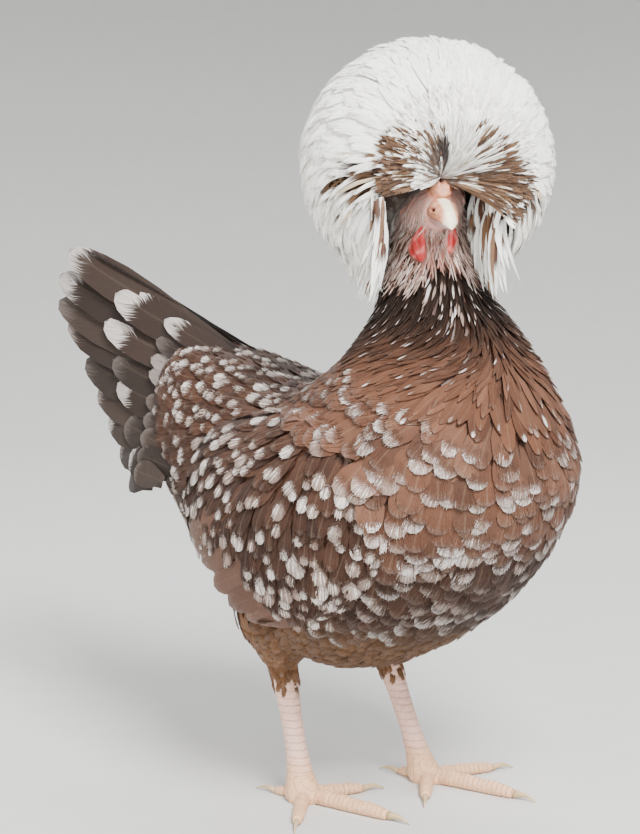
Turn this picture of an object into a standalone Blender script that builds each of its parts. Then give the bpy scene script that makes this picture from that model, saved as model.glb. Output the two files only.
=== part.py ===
"""A crested hen of the Polish breed, standing, at life size.

The hen faces -Y, its right side is -X and the floor is z = 0. All sizes are metres.
"""

import math

import bmesh
import bpy
from mathutils import Matrix, Vector

# Clearance between two solids that touch.
GAP = 0.0003
# Moves the hen so that the middle of its box stands over the origin.
STANDING_SHIFT = Vector((-0.0004, -0.0646, 0.0))

# The body's long line from rump to nape: name, point on the back (y, z), point below (y, z), half width.
BODY_LINE = (
    ("rump", (0.150, 0.236), (0.154, 0.192), 0.015),
    ("vent", (0.126, 0.248), (0.138, 0.160), 0.037),
    ("fluff", (0.086, 0.243), (0.088, 0.112), 0.055),
    ("loin", (0.050, 0.2335), (0.040, 0.0800), 0.070),
    ("keel", (0.026, 0.232), (-0.020, 0.0765), 0.078),
    ("breast", (0.009, 0.241), (-0.087, 0.118), 0.079),
    ("crop", (-0.004, 0.250), (-0.1255, 0.178), 0.071),
    ("neck_base", (-0.013, 0.262), (-0.1150, 0.229), 0.054),
    ("hackle", (-0.021, 0.276), (-0.0965, 0.263), 0.037),
    ("throat", (-0.025, 0.290), (-0.0790, 0.290), 0.0260),
    ("nape", (-0.030, 0.322), (-0.0700, 0.324), 0.0175),
)
BODY_SEGMENTS = 28
# The power of the body's ovals: 2 is an ellipse, more is fuller.
BODY_FULLNESS = 2.15
TRUNK_RINGS = 17
NECK_RINGS = 9
NECK_STARTS = 7.0
# Half the parting between trunk and neck, in steps of the body line, about 0.3 mm on the back.
NECK_PARTING = 0.012
# The upper neck leans to the bird's right, where the head looks.
NECK_LEAN = -0.010
NECK_LEAN_FROM = 0.255
NECK_LEAN_TO = 0.322

# The head: centre of the skull, turn to the bird's right and tip of the bill downwards.
HEAD_CENTRE = Vector((-0.0151, -0.0571, 0.333))
HEAD_TURN = math.radians(32)
HEAD_PITCH = math.radians(10)
# Along the head, height of the middle, half width, half height.
HEAD_LINE = (
    (-0.0260, 0.0020, 0.0050, 0.0050),
    (-0.0225, 0.0020, 0.0125, 0.0125),
    (-0.0120, 0.0010, 0.0185, 0.0185),
    (0.0000, -0.0010, 0.0195, 0.0190),
    (0.0100, -0.0020, 0.0155, 0.0150),
    (0.0170, -0.0020, 0.0105, 0.0110),
    (0.0200, -0.0020, 0.0086, 0.0088),
)
HEAD_SEGMENTS = 18
EYE_PLACE = Vector((0.0030, 0.0128, 0.0030))
EYE_RADIUS = 0.0048
EYE_SEGMENTS = 12
EYE_RINGS = 8
EARLOBE_PLACE = Vector((-0.0085, 0.0185, -0.0095))
EARLOBE_HALF = Vector((0.0038, 0.0022, 0.0050))
EARLOBE_SEGMENTS = 10
EARLOBE_RINGS = 6

# The bill: length past its base, drop of the tip, half width and heights at the base.
BILL_BASE = 0.0203
BILL_LENGTH = 0.0225
BILL_HALF_WIDTH = 0.0073
BILL_UPPER_HEIGHT = 0.0088
BILL_LOWER_HEIGHT = 0.0052
MOUTH_HEIGHT = -0.0036
HOOK_DROP = 0.0036
# The lower half's length and width against the upper half's.
BILL_LOWER_LENGTH = 0.80
BILL_LOWER_WIDTH = 0.84
BILL_STEPS = 8
BILL_ARC_STEPS = 11
# Powers of the bill's taper and of its arch, and its girth at the tip.
BILL_TAPER = 1.9
BILL_TAPER_ROOT = 0.75
BILL_ARCH = 0.8
BILL_TIP_GIRTH = 0.09

# The small fleshy knob over the nostrils, with the two low points of a V comb.
COMB_PLACE = Vector((0.0175, 0.0, 0.0090))
COMB_HALF = Vector((0.0060, 0.0060, 0.0050))
COMB_POINT_SPREAD = 0.0042
COMB_POINT_RISE = 0.0030
COMB_POINT_WIDTH = 0.0022
# How far the points lean back, against their rise.
COMB_POINT_LEAN = 0.5
COMB_SEGMENTS = 12
COMB_RINGS = 8

WATTLE_TOP = Vector((0.0160, 0.0080, -0.0100))
WATTLE_LENGTH = 0.0215
WATTLE_HALF_WIDTH = 0.0058
WATTLE_HALF_THICKNESS = 0.0016
WATTLE_SEGMENTS = 10
WATTLE_STEPS = 8
WATTLE_DOWN = Vector((-0.12, 0.0, -1.0)).normalized()
# The flap's broad way: ahead, and in towards the throat.
WATTLE_AHEAD = 0.8
WATTLE_INWARD = 0.6
# The part of a half turn that its outline follows, that arc's power, and its girths at top and least.
WATTLE_ARC_START = 0.10
WATTLE_ARC_SPAN = 0.86
WATTLE_ARC_POWER = 0.6
WATTLE_TOP_GIRTH = 0.62
WATTLE_LEAST_GIRTH = 0.15
WATTLE_BOW = 0.0012

# The crest: a globe of long feathers, open round the face.
CREST_OFFSET = Vector((-0.012, 0.003, 0.0))
CREST_HEIGHT = 0.3515
CREST_HALF = Vector((0.0610, 0.0668, 0.0650))
CREST_SEGMENTS = 30
CREST_RINGS = 13
CREST_TUFTS = 10
CREST_TUFT_DEPTH = 0.018
# The turn of the tufts from ring to ring, in radians.
CREST_TUFT_TURN = 1.3
# How much further the lowest feathers hang, between two turns from the top, in radians.
CREST_HANG = 0.05
CREST_HANG_FROM = 2.2
CREST_HANG_TO = 2.7
CREST_CLEARANCE = 0.0007
FACE_OPENING_HALF_WIDTH = 0.0225
FACE_OPENING_TOP = 0.0150
FACE_OPENING_BACK = -0.0025
FACE_OPENING_FRONT = 0.09
FACE_OPENING_LOW = -0.09
# How much wider the opening is at its front, and the steps of its arch.
FACE_OPENING_FLARE = 1.25
FACE_ARCH_STEPS = 10

# The folded wing: stations from the wrist to the tips: y, lower edge, upper edge.
WING_LINE = (
    (-0.0740, 0.168, 0.176),
    (-0.0640, 0.140, 0.203),
    (-0.0300, 0.116, 0.221),
    (0.0100, 0.107, 0.222),
    (0.0450, 0.113, 0.214),
    (0.0640, 0.126, 0.203),
    (0.0730, 0.144, 0.188),
)
WING_GAP = 0.0006
# Spread of the places beside a point of the wing where the body under it is felt.
WING_FEELER = 0.005
# How far out to the side the feeling starts.
WING_FEELER_START = 0.2
WING_EDGE = 0.0012
WING_THICKNESS = 0.0085
# The power of the wing's swell across, and the swell's share at both ends of the wing.
WING_SWELL_POWER = 0.6
WING_END_SWELL = 0.35
WING_ROWS = 10
WING_COLUMNS = 14
WING_FEATHERS = 5
WING_FEATHER_STEP = 0.0011

# The tail: root and tip of its lowest and highest feathers (y, z), with the tips' line between.
TAIL_ROOT_LOW = (0.126, 0.168)
TAIL_ROOT_HIGH = (0.110, 0.246)
TAIL_TIPS = (
    (0.158, 0.170),
    (0.182, 0.195),
    (0.206, 0.219),
    (0.231, 0.245),
    (0.256, 0.271),
    (0.247, 0.296),
)
TAIL_FEATHERS = 7
TAIL_ROWS_PER_FEATHER = 3
TAIL_COLUMNS = 5
TAIL_HALF_WIDTH_LOW = 0.040
TAIL_HALF_WIDTH_HIGH = 0.017
TAIL_TIP_NARROWS = 0.55
TAIL_TIP_SCALLOP = 0.0045
TAIL_FEATHER_STEP = 0.0012
TAIL_WIDTH_POWER = 0.8
# The parts of the fan where its two sides start and end to close, and the width left there.
TAIL_CLOSES_BELOW = 0.02
TAIL_CLOSES_ABOVE = 0.985
TAIL_CLOSED_WIDTH = 0.5
# The feathers' ends: where they start to narrow, and by how much.
TAIL_END_FROM = 0.75
TAIL_END_NARROWS = 0.45

# The legs: side (1 is the bird's left), foot on the floor, hock.
LEGS = {
    "left": (1, Vector((0.038, -0.015, 0.0)), Vector((0.0310, 0.0120, 0.0735))),
    "right": (-1, Vector((-0.035, 0.013, 0.0)), Vector((-0.0300, 0.0345, 0.0735))),
}
# Thigh stations above the hock: step sideways, step forwards, height, half width, half depth.
THIGH_LINE = (
    (0.0000, 0.0000, 0.0000, 0.0098, 0.0100),
    (0.0035, 0.0030, 0.0100, 0.0150, 0.0160),
    (0.0100, 0.0090, 0.0260, 0.0235, 0.0270),
    (0.0150, 0.0170, 0.0500, 0.0280, 0.0350),
    (0.0120, 0.0260, 0.0800, 0.0230, 0.0300),
)
THIGH_SEGMENTS = 18
# Shank stations: part of the way down from hock to sole, half width, half depth.
SHANK_LINE = (
    (0.00, 0.0074, 0.0082),
    (0.10, 0.0072, 0.0080),
    (0.35, 0.0059, 0.0064),
    (0.62, 0.0058, 0.0063),
    (0.78, 0.0068, 0.0076),
    (0.88, 0.0088, 0.0094),
    (0.96, 0.0104, 0.0106),
    (1.00, 0.0098, 0.0100),
)
SHANK_SEGMENTS = 14
# Toes: turn from straight ahead to the outer side in degrees, length, radius at the root.
TOES = {
    "left": {
        "inner": (-52, 0.0350, 0.0044),
        "middle": (9, 0.0560, 0.0050),
        "outer": (67, 0.0420, 0.0044),
        "hind": (186, 0.0200, 0.0036),
    },
    "right": {
        "inner": (-66, 0.0350, 0.0044),
        "middle": (-7, 0.0560, 0.0050),
        "outer": (52, 0.0420, 0.0044),
        "hind": (172, 0.0200, 0.0036),
    },
}
# Part of a toe's length and its girth there, with the pads at the toe's joints.
TOE_GIRTH = (
    (0.14, 0.84),
    (0.28, 1.00),
    (0.38, 0.90),
    (0.50, 0.96),
    (0.62, 0.84),
    (0.76, 0.88),
    (0.90, 0.76),
    (1.00, 0.62),
)
TOE_SEGMENTS = 8
TOE_SINKS = 0.80
CLAW_LENGTH = 0.0135
CLAW_GIRTH = 0.80
CLAW_SEGMENTS = 7
CLAW_RINGS = 5
CLAW_WIDTH = 0.8
CLAW_ARCH = 0.0012
CLAW_TIP_HEIGHT = 0.0006
CLAW_TIP_GIRTH = 0.16
CLAW_TAPER = 0.75
# The least height of the claw's middle over the floor, against its half height.
CLAW_SINKS = 0.92

UMBER = (0.155, 0.075, 0.045)
DARK_UMBER = (0.060, 0.028, 0.018)
TAN = (0.300, 0.180, 0.120)
CREAM = (0.850, 0.800, 0.700)
FLESH = (0.700, 0.380, 0.320)
RED_FLESH = (0.640, 0.090, 0.080)
PINK_SCALES = (0.720, 0.500, 0.450)
HORN = (0.780, 0.690, 0.520)
CLAW_HORN = (0.480, 0.310, 0.160)
IRIS = (0.320, 0.080, 0.030)
LOBE_WHITE = (0.780, 0.720, 0.660)

FEATHER_ROUGHNESS = 0.75
SKIN_ROUGHNESS = 0.50
HORN_ROUGHNESS = 0.38
EYE_ROUGHNESS = 0.08


def clear_scene():
    """Removes what a new file holds."""
    for obj in list(bpy.data.objects):
        bpy.data.objects.remove(obj, do_unlink=True)


def dress(obj, colour, roughness):
    """Gives the object a material of its own."""
    material = bpy.data.materials.new(obj.name)
    material.use_nodes = True
    shader = material.node_tree.nodes["Principled BSDF"]
    shader.inputs["Base Color"].default_value = (*colour, 1.0)
    shader.inputs["Roughness"].default_value = roughness
    shader.inputs["Metallic"].default_value = 0.0
    obj.data.materials.clear()
    obj.data.materials.append(material)


def smooth_value(values, at):
    """Reads a smooth curve through evenly spaced values, at a place in steps along them."""
    last = len(values) - 1
    start = min(int(at), last - 1)
    part = at - start
    before = values[max(start - 1, 0)]
    one = values[start]
    two = values[start + 1]
    after = values[min(start + 2, last)]
    square = part * part
    cube = square * part
    return 0.5 * (
        2.0 * one
        + (two - before) * part
        + (2.0 * before - 5.0 * one + 4.0 * two - after) * square
        + (3.0 * one - before - 3.0 * two + after) * cube
    )


def smooth_step(value, low, high):
    """Rises from 0 to 1 between low and high."""
    part = min(max((value - low) / (high - low), 0.0), 1.0)
    return part * part * (3.0 - 2.0 * part)


def finish_object(name, bm):
    """Makes an object of a closed bmesh, with its faces turned out."""
    bmesh.ops.recalc_face_normals(bm, faces=bm.faces)
    mesh = bpy.data.meshes.new(name)
    bm.to_mesh(mesh)
    bm.free()
    mesh.shade_smooth()
    obj = bpy.data.objects.new(name, mesh)
    bpy.context.scene.collection.objects.link(obj)
    return obj


def loft(name, rings):
    """Joins rings of points into one closed body with filled ends."""
    bm = bmesh.new()
    rows = [[bm.verts.new(point) for point in ring] for ring in rings]
    count = len(rows[0])
    for near, far in zip(rows, rows[1:]):
        for i in range(count):
            j = (i + 1) % count
            bm.faces.new((near[i], near[j], far[j], far[i]))
    for end in (rows[0], rows[-1]):
        bm.faces.new(end)
    return finish_object(name, bm)


def oval(centre, side, up, segments, fullness=2.0):
    """A ring of points round a centre, an ellipse or a fuller oval."""
    power = 2.0 / fullness
    ring = []
    for i in range(segments):
        angle = 2.0 * math.pi * i / segments
        across = math.copysign(abs(math.sin(angle)) ** power, math.sin(angle))
        along = math.copysign(abs(math.cos(angle)) ** power, math.cos(angle))
        ring.append(centre + side * across + up * along)
    return ring


def grown_copy(obj, clearance=GAP):
    """A hidden cutter: the object's shape, larger all round by the clearance."""
    bm = bmesh.new()
    bm.from_mesh(obj.data)
    bm.normal_update()
    moves = [(vertex, vertex.normal * clearance) for vertex in bm.verts]
    for vertex, move in moves:
        vertex.co += move
    cutter = finish_object(obj.name + "_cutter", bm)
    cutter.hide_render = True
    cutter.display_type = "WIRE"
    return cutter


def cut(obj, cutters):
    """Takes the cutters' shapes out of the object and removes the cutters."""
    for cutter in cutters:
        modifier = obj.modifiers.new("cut", "BOOLEAN")
        modifier.operation = "DIFFERENCE"
        modifier.object = cutter
    bpy.context.view_layer.update()
    graph = bpy.context.evaluated_depsgraph_get()
    shaped = bpy.data.meshes.new_from_object(obj.evaluated_get(graph))
    obj.modifiers.clear()
    obj.data = shaped
    for cutter in cutters:
        bpy.data.objects.remove(cutter, do_unlink=True)


def body_ring(at):
    """The body's oval at a place on its long line."""
    back_y = smooth_value([station[1][0] for station in BODY_LINE], at)
    back_z = smooth_value([station[1][1] for station in BODY_LINE], at)
    below_y = smooth_value([station[2][0] for station in BODY_LINE], at)
    below_z = smooth_value([station[2][1] for station in BODY_LINE], at)
    half_width = smooth_value([station[3] for station in BODY_LINE], at)
    back = Vector((0.0, back_y, back_z))
    below = Vector((0.0, below_y, below_z))
    side = Vector((half_width, 0, 0))
    ring = oval((back + below) / 2, side, (back - below) / 2, BODY_SEGMENTS, BODY_FULLNESS)
    for point in ring:
        point.x += NECK_LEAN * smooth_step(point.z, NECK_LEAN_FROM, NECK_LEAN_TO)
    return ring


def body_rings(start, end, count):
    """Ovals evenly spaced from start to end of a stretch of the body line."""
    return [body_ring(start + (end - start) * i / count) for i in range(count + 1)]


def make_trunk():
    """The trunk, from the rump to the root of the neck."""
    trunk = loft("trunk", body_rings(0.0, NECK_STARTS - NECK_PARTING, TRUNK_RINGS))
    dress(trunk, UMBER, FEATHER_ROUGHNESS)
    return trunk


def make_neck():
    """The neck, from the trunk to inside the crest."""
    neck = loft("neck", body_rings(NECK_STARTS + NECK_PARTING, len(BODY_LINE) - 1.0, NECK_RINGS))
    dress(neck, UMBER, FEATHER_ROUGHNESS)
    return neck


def head_matrix():
    """Turns the head's own axes (ahead, to its left, up) into the hen's."""
    turn = Matrix.Rotation(-math.pi / 2 - HEAD_TURN, 4, "Z")
    pitch = Matrix.Rotation(HEAD_PITCH, 4, "Y")
    return Matrix.Translation(HEAD_CENTRE) @ turn @ pitch


def place_on_head(obj):
    """Moves an object from the head's own axes to its place on the hen."""
    obj.data.transform(head_matrix())
    obj.data.update()


def ball(name, place, half, segments, rings):
    """A closed round body with three half sizes."""
    bm = bmesh.new()
    bmesh.ops.create_uvsphere(bm, u_segments=segments, v_segments=rings, radius=1.0)
    for vertex in bm.verts:
        vertex.co = Vector((vertex.co.x * half.x, vertex.co.y * half.y, vertex.co.z * half.z)) + place
    return finish_object(name, bm)


def make_head():
    """The skull with its skin and short feathers."""
    rings = []
    stations = len(HEAD_LINE) - 1
    for i in range(2 * stations + 1):
        along, height, half_width, half_height = (
            smooth_value([station[k] for station in HEAD_LINE], i / 2) for k in range(4)
        )
        centre = Vector((along, 0, height))
        rings.append(oval(centre, Vector((0, half_width, 0)), Vector((0, 0, half_height)), HEAD_SEGMENTS))
    head = loft("head", rings)
    place_on_head(head)
    dress(head, FLESH, SKIN_ROUGHNESS)
    return head


def make_eyes():
    """Two round eyes, set in the sides of the head."""
    eyes = []
    for side_name, side in (("left", 1), ("right", -1)):
        place = Vector((EYE_PLACE.x, EYE_PLACE.y * side, EYE_PLACE.z))
        eye = ball("eye_" + side_name, place, Vector((1, 1, 1)) * EYE_RADIUS, EYE_SEGMENTS, EYE_RINGS)
        place_on_head(eye)
        dress(eye, IRIS, EYE_ROUGHNESS)
        eyes.append(eye)
    return eyes


def make_earlobes(neighbours):
    """Two small pale lobes below the ears."""
    lobes = []
    for side_name, side in (("left", 1), ("right", -1)):
        place = Vector((EARLOBE_PLACE.x, EARLOBE_PLACE.y * side, EARLOBE_PLACE.z))
        lobe = ball("earlobe_" + side_name, place, EARLOBE_HALF, EARLOBE_SEGMENTS, EARLOBE_RINGS)
        place_on_head(lobe)
        cut(lobe, [grown_copy(neighbour) for neighbour in neighbours])
        dress(lobe, LOBE_WHITE, SKIN_ROUGHNESS)
        lobes.append(lobe)
    return lobes


def bill_half(name, upper):
    """One half of the bill, a tapering body with a flat mouth side."""
    rings = []
    length = BILL_LENGTH if upper else BILL_LENGTH * BILL_LOWER_LENGTH
    height = BILL_UPPER_HEIGHT if upper else -BILL_LOWER_HEIGHT
    for i in range(BILL_STEPS + 1):
        part = i / BILL_STEPS
        girth = max((1.0 - part**BILL_TAPER) ** BILL_TAPER_ROOT, BILL_TIP_GIRTH)
        drop = HOOK_DROP * (length * part / BILL_LENGTH) ** 3
        mouth = MOUTH_HEIGHT - drop + (GAP if upper else -GAP)
        half_width = BILL_HALF_WIDTH * girth * (1.0 if upper else BILL_LOWER_WIDTH)
        ring = []
        for k in range(BILL_ARC_STEPS + 1):
            angle = math.pi * k / BILL_ARC_STEPS
            rise = height * girth * math.sin(angle) ** BILL_ARCH
            ring.append(Vector((BILL_BASE + length * part, half_width * math.cos(angle), mouth + rise)))
        rings.append(ring)
    half = loft(name, rings)
    place_on_head(half)
    return half


def make_bill():
    """The upper and the lower half of the bill, closed."""
    upper = bill_half("beak_upper", True)
    dress(upper, HORN, HORN_ROUGHNESS)
    lower = bill_half("beak_lower", False)
    dress(lower, FLESH, HORN_ROUGHNESS)
    return upper, lower


def make_comb(head, beak_upper):
    """The knob of flesh over the nostrils, with two low points."""
    comb = ball("comb", COMB_PLACE, COMB_HALF, COMB_SEGMENTS, COMB_RINGS)
    for vertex in comb.data.vertices:
        offset = vertex.co - COMB_PLACE
        for side in (1, -1):
            near = math.exp(-(((offset.y - side * COMB_POINT_SPREAD) / COMB_POINT_WIDTH) ** 2))
            rise = COMB_POINT_RISE * near * max(offset.z, 0.0) / COMB_HALF.z
            vertex.co.z += rise
            vertex.co.x -= COMB_POINT_LEAN * rise
    place_on_head(comb)
    cut(comb, [grown_copy(head), grown_copy(beak_upper)])
    dress(comb, FLESH, SKIN_ROUGHNESS)
    return comb


def make_wattles(neighbours):
    """Two thin flaps that hang from the corners of the mouth."""
    for side_name, side in (("left", 1), ("right", -1)):
        rings = []
        for i in range(WATTLE_STEPS + 1):
            part = i / WATTLE_STEPS
            arc = math.sin(math.pi * (WATTLE_ARC_START + WATTLE_ARC_SPAN * part)) ** WATTLE_ARC_POWER
            girth = max(arc * (WATTLE_TOP_GIRTH + (1.0 - WATTLE_TOP_GIRTH) * part), WATTLE_LEAST_GIRTH)
            top = Vector((WATTLE_TOP.x, WATTLE_TOP.y * side, WATTLE_TOP.z))
            centre = top + WATTLE_DOWN * WATTLE_LENGTH * part
            centre.y += side * WATTLE_BOW * math.sin(math.pi * part)
            width = Vector((WATTLE_AHEAD, -WATTLE_INWARD * side, 0.0)) * WATTLE_HALF_WIDTH * girth
            depth = Vector((WATTLE_INWARD * side, WATTLE_AHEAD, 0.0)) * WATTLE_HALF_THICKNESS
            rings.append(oval(centre, width, depth, WATTLE_SEGMENTS))
        wattle = loft("wattle_" + side_name, rings)
        place_on_head(wattle)
        cut(wattle, [grown_copy(neighbour) for neighbour in neighbours])
        dress(wattle, RED_FLESH, SKIN_ROUGHNESS)


def face_opening():
    """A hidden cutter, an arch in front of the face and down to the throat."""
    rings = []
    for along, flare in ((FACE_OPENING_BACK, 1.0), (FACE_OPENING_FRONT, FACE_OPENING_FLARE)):
        ring = []
        half_width = FACE_OPENING_HALF_WIDTH * flare
        for k in range(FACE_ARCH_STEPS + 1):
            angle = math.pi * k / FACE_ARCH_STEPS
            arch = FACE_OPENING_TOP - half_width + half_width * math.sin(angle)
            ring.append(Vector((along, half_width * math.cos(angle), arch)))
        ring.append(Vector((along, -half_width, FACE_OPENING_LOW)))
        ring.append(Vector((along, half_width, FACE_OPENING_LOW)))
        rings.append(ring)
    cutter = loft("face_opening", rings)
    place_on_head(cutter)
    cutter.hide_render = True
    cutter.display_type = "WIRE"
    return cutter


def make_crest(neighbours):
    """The globe of crest feathers, lobed by its tufts and open round the face."""
    turned = head_matrix().to_3x3() @ CREST_OFFSET
    centre = HEAD_CENTRE + turned
    centre.z = CREST_HEIGHT
    heading = Matrix.Rotation(-math.pi / 2 - HEAD_TURN, 3, "Z")
    rings = []
    for i in range(1, CREST_RINGS):
        polar = math.pi * i / CREST_RINGS
        ring = []
        for k in range(CREST_SEGMENTS):
            azimuth = 2.0 * math.pi * k / CREST_SEGMENTS
            lobes = abs(math.sin(CREST_TUFTS * azimuth / 2 + CREST_TUFT_TURN * i))
            radius = 1.0 - CREST_TUFT_DEPTH * (1.0 - lobes) * math.sin(polar)
            hang = 1.0 + CREST_HANG * smooth_step(polar, CREST_HANG_FROM, CREST_HANG_TO)
            local = Vector(
                (
                    CREST_HALF.x * math.sin(polar) * math.cos(azimuth) * radius,
                    CREST_HALF.y * math.sin(polar) * math.sin(azimuth) * radius,
                    CREST_HALF.z * math.cos(polar) * radius * hang,
                )
            )
            ring.append(centre + heading @ local)
        rings.append(ring)
    crest = loft("crest", rings)
    cut(crest, [face_opening()] + [grown_copy(neighbour, CREST_CLEARANCE) for neighbour in neighbours])
    dress(crest, CREAM, FEATHER_ROUGHNESS)


def sheet_pair(name, outer, inner):
    """Closes two grids of points, one over the other, into a thin body."""
    bm = bmesh.new()
    front = [[bm.verts.new(point) for point in row] for row in outer]
    rear = [[bm.verts.new(point) for point in row] for row in inner]
    rows = len(front)
    columns = len(front[0])
    for grid in (front, rear):
        for i in range(rows - 1):
            for k in range(columns - 1):
                bm.faces.new((grid[i][k], grid[i][k + 1], grid[i + 1][k + 1], grid[i + 1][k]))
    border = [(0, k) for k in range(columns)]
    border += [(i, columns - 1) for i in range(1, rows)]
    border += [(rows - 1, k) for k in range(columns - 2, -1, -1)]
    border += [(i, 0) for i in range(rows - 2, 0, -1)]
    for (i, k), (p, q) in zip(border, border[1:] + border[:1]):
        bm.faces.new((front[i][k], front[p][q], rear[p][q], rear[i][k]))
    return finish_object(name, bm)


def side_reach(bodies, y, z, side):
    """How far the bodies stand out sideways near a place."""
    reach = 0.0
    for step_y, step_z in ((0, 0), (1, 0), (-1, 0), (0, 1), (0, -1)):
        start = Vector((side * WING_FEELER_START, y + WING_FEELER * step_y, z + WING_FEELER * step_z))
        for body in bodies:
            hit, place, _, _ = body.ray_cast(start, Vector((-side, 0, 0)))
            reach = max(reach, abs(place.x)) if hit else reach
    return reach


def make_wings(trunk):
    """Two folded wings, shells that lie on the trunk, with steps for the rows of feathers."""
    bpy.context.view_layer.update()
    steps = len(WING_LINE) - 1
    for side_name, side in (("left", 1), ("right", -1)):
        bodies = [trunk, bpy.data.objects["thigh_" + side_name]]
        outer = []
        inner = []
        for i in range(WING_COLUMNS + 1):
            along = steps * i / WING_COLUMNS
            y = smooth_value([station[0] for station in WING_LINE], along)
            low = smooth_value([station[1] for station in WING_LINE], along)
            high = smooth_value([station[2] for station in WING_LINE], along)
            outer_row = []
            inner_row = []
            for k in range(WING_ROWS + 1):
                across = k / WING_ROWS
                z = low + (high - low) * across
                reach = side_reach(bodies, y, z, side) + WING_GAP
                swell = math.sin(math.pi * across) ** WING_SWELL_POWER
                swell *= WING_END_SWELL + (1.0 - WING_END_SWELL) * math.sin(math.pi * i / WING_COLUMNS)
                step = WING_FEATHER_STEP * ((WING_FEATHERS * (1.0 - across)) % 1.0) * (0 < k < WING_ROWS)
                thick = WING_EDGE + (WING_THICKNESS - WING_EDGE) * swell + step
                inner_row.append(Vector((side * reach, y, z)))
                outer_row.append(Vector((side * (reach + thick), y, z)))
            outer.append(outer_row)
            inner.append(inner_row)
        wing = sheet_pair("wing_" + side_name, outer, inner)
        dress(wing, DARK_UMBER, FEATHER_ROUGHNESS)


def make_tail(trunk):
    """The tail, a narrow tent of stiff feathers whose tips step down along its end."""
    rows = TAIL_FEATHERS * TAIL_ROWS_PER_FEATHER
    tips = len(TAIL_TIPS) - 1
    halves = {1: [], -1: []}
    for i in range(rows + 1):
        part = i / rows
        root_y = TAIL_ROOT_LOW[0] + (TAIL_ROOT_HIGH[0] - TAIL_ROOT_LOW[0]) * part
        root_z = TAIL_ROOT_LOW[1] + (TAIL_ROOT_HIGH[1] - TAIL_ROOT_LOW[1]) * part
        tip_y = smooth_value([tip[0] for tip in TAIL_TIPS], tips * part)
        tip_z = smooth_value([tip[1] for tip in TAIL_TIPS], tips * part)
        within = (i % TAIL_ROWS_PER_FEATHER) / TAIL_ROWS_PER_FEATHER
        scallop = TAIL_TIP_SCALLOP * (2.0 * abs(within - 0.5)) ** 2
        reach = math.hypot(tip_y - root_y, tip_z - root_z)
        narrowing = (TAIL_HALF_WIDTH_HIGH - TAIL_HALF_WIDTH_LOW) * part**TAIL_WIDTH_POWER
        width = TAIL_HALF_WIDTH_LOW + narrowing
        turn = math.pi * min(max(part, TAIL_CLOSES_BELOW), TAIL_CLOSES_ABOVE)
        closing = TAIL_CLOSED_WIDTH + (1.0 - TAIL_CLOSED_WIDTH) * math.sqrt(max(math.sin(turn), 0.0))
        for side, grid in halves.items():
            row = []
            for k in range(TAIL_COLUMNS + 1):
                along = k / TAIL_COLUMNS * (1.0 - scallop / reach)
                narrow = 1.0 - (1.0 - TAIL_TIP_NARROWS) * along
                half = width * narrow * closing + TAIL_FEATHER_STEP * within * along
                half *= 1.0 - TAIL_END_NARROWS * smooth_step(along, TAIL_END_FROM, 1.0)
                y = root_y + (tip_y - root_y) * along
                z = root_z + (tip_z - root_z) * along
                row.append(Vector((side * half, y, z)))
            grid.append(row)
    tail = sheet_pair("tail", halves[1], halves[-1])
    cut(tail, [grown_copy(trunk)])
    dress(tail, DARK_UMBER, FEATHER_ROUGHNESS)


def make_thigh(side_name, side, hock, trunk):
    """The feathered thigh, from the belly down to the hock."""
    stations = len(THIGH_LINE) - 1
    rings = []
    for i in range(2 * stations + 1):
        sideways, forwards, height, half_width, half_depth = (
            smooth_value([station[k] for station in THIGH_LINE], i / 2) for k in range(5)
        )
        centre = hock + Vector((side * sideways, -forwards, height + GAP))
        rings.append(oval(centre, Vector((half_width, 0, 0)), Vector((0, half_depth, 0)), THIGH_SEGMENTS))
    thigh = loft("thigh_" + side_name, rings)
    cut(thigh, [grown_copy(trunk)])
    dress(thigh, TAN, FEATHER_ROUGHNESS)


def make_shank(side_name, foot, hock):
    """The bare shank, with the pad of the foot flat on the floor."""
    rings = []
    for part, half_width, half_depth in SHANK_LINE:
        centre = hock.lerp(foot, part)
        rings.append(oval(centre, Vector((half_width, 0, 0)), Vector((0, half_depth, 0)), SHANK_SEGMENTS))
    shank = loft("shank_" + side_name, rings)
    dress(shank, PINK_SCALES, SKIN_ROUGHNESS)
    return shank


def toe_direction(side, turn):
    """The way that a toe points on the floor."""
    angle = math.radians(turn)
    return Vector((side * math.sin(angle), -math.cos(angle), 0.0))


def make_toe(label, root, heading, length, radius, shank):
    """One toe, padded at its joints and flat where it lies on the floor."""
    across = heading.cross(Vector((0, 0, 1)))
    rings = []
    for part, girth in TOE_GIRTH:
        half = radius * girth
        centre = root + heading * length * part + Vector((0, 0, half * TOE_SINKS))
        ring = oval(centre, across * half, Vector((0, 0, half)), TOE_SEGMENTS)
        for point in ring:
            point.z = max(point.z, 0.0)
        rings.append(ring)
    toe = loft("toe_" + label, rings)
    cut(toe, [grown_copy(shank)])
    dress(toe, PINK_SCALES, SKIN_ROUGHNESS)


def make_claw(label, start, heading, radius):
    """One claw, a curved cone that comes down to the floor."""
    across = heading.cross(Vector((0, 0, 1)))
    rings = []
    for i in range(CLAW_RINGS):
        part = i / (CLAW_RINGS - 1)
        half = radius * max((1.0 - part) ** CLAW_TAPER, CLAW_TIP_GIRTH)
        height = start.z + CLAW_ARCH * math.sin(math.pi * part) - (start.z - CLAW_TIP_HEIGHT) * part**2
        centre = Vector((start.x, start.y, height)) + heading * CLAW_LENGTH * part
        centre.z = max(centre.z, half * CLAW_SINKS)
        ring = oval(centre, across * half * CLAW_WIDTH, Vector((0, 0, half)), CLAW_SEGMENTS)
        for point in ring:
            point.z = max(point.z, 0.0)
        rings.append(ring)
    claw = loft("claw_" + label, rings)
    dress(claw, CLAW_HORN, HORN_ROUGHNESS)


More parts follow.
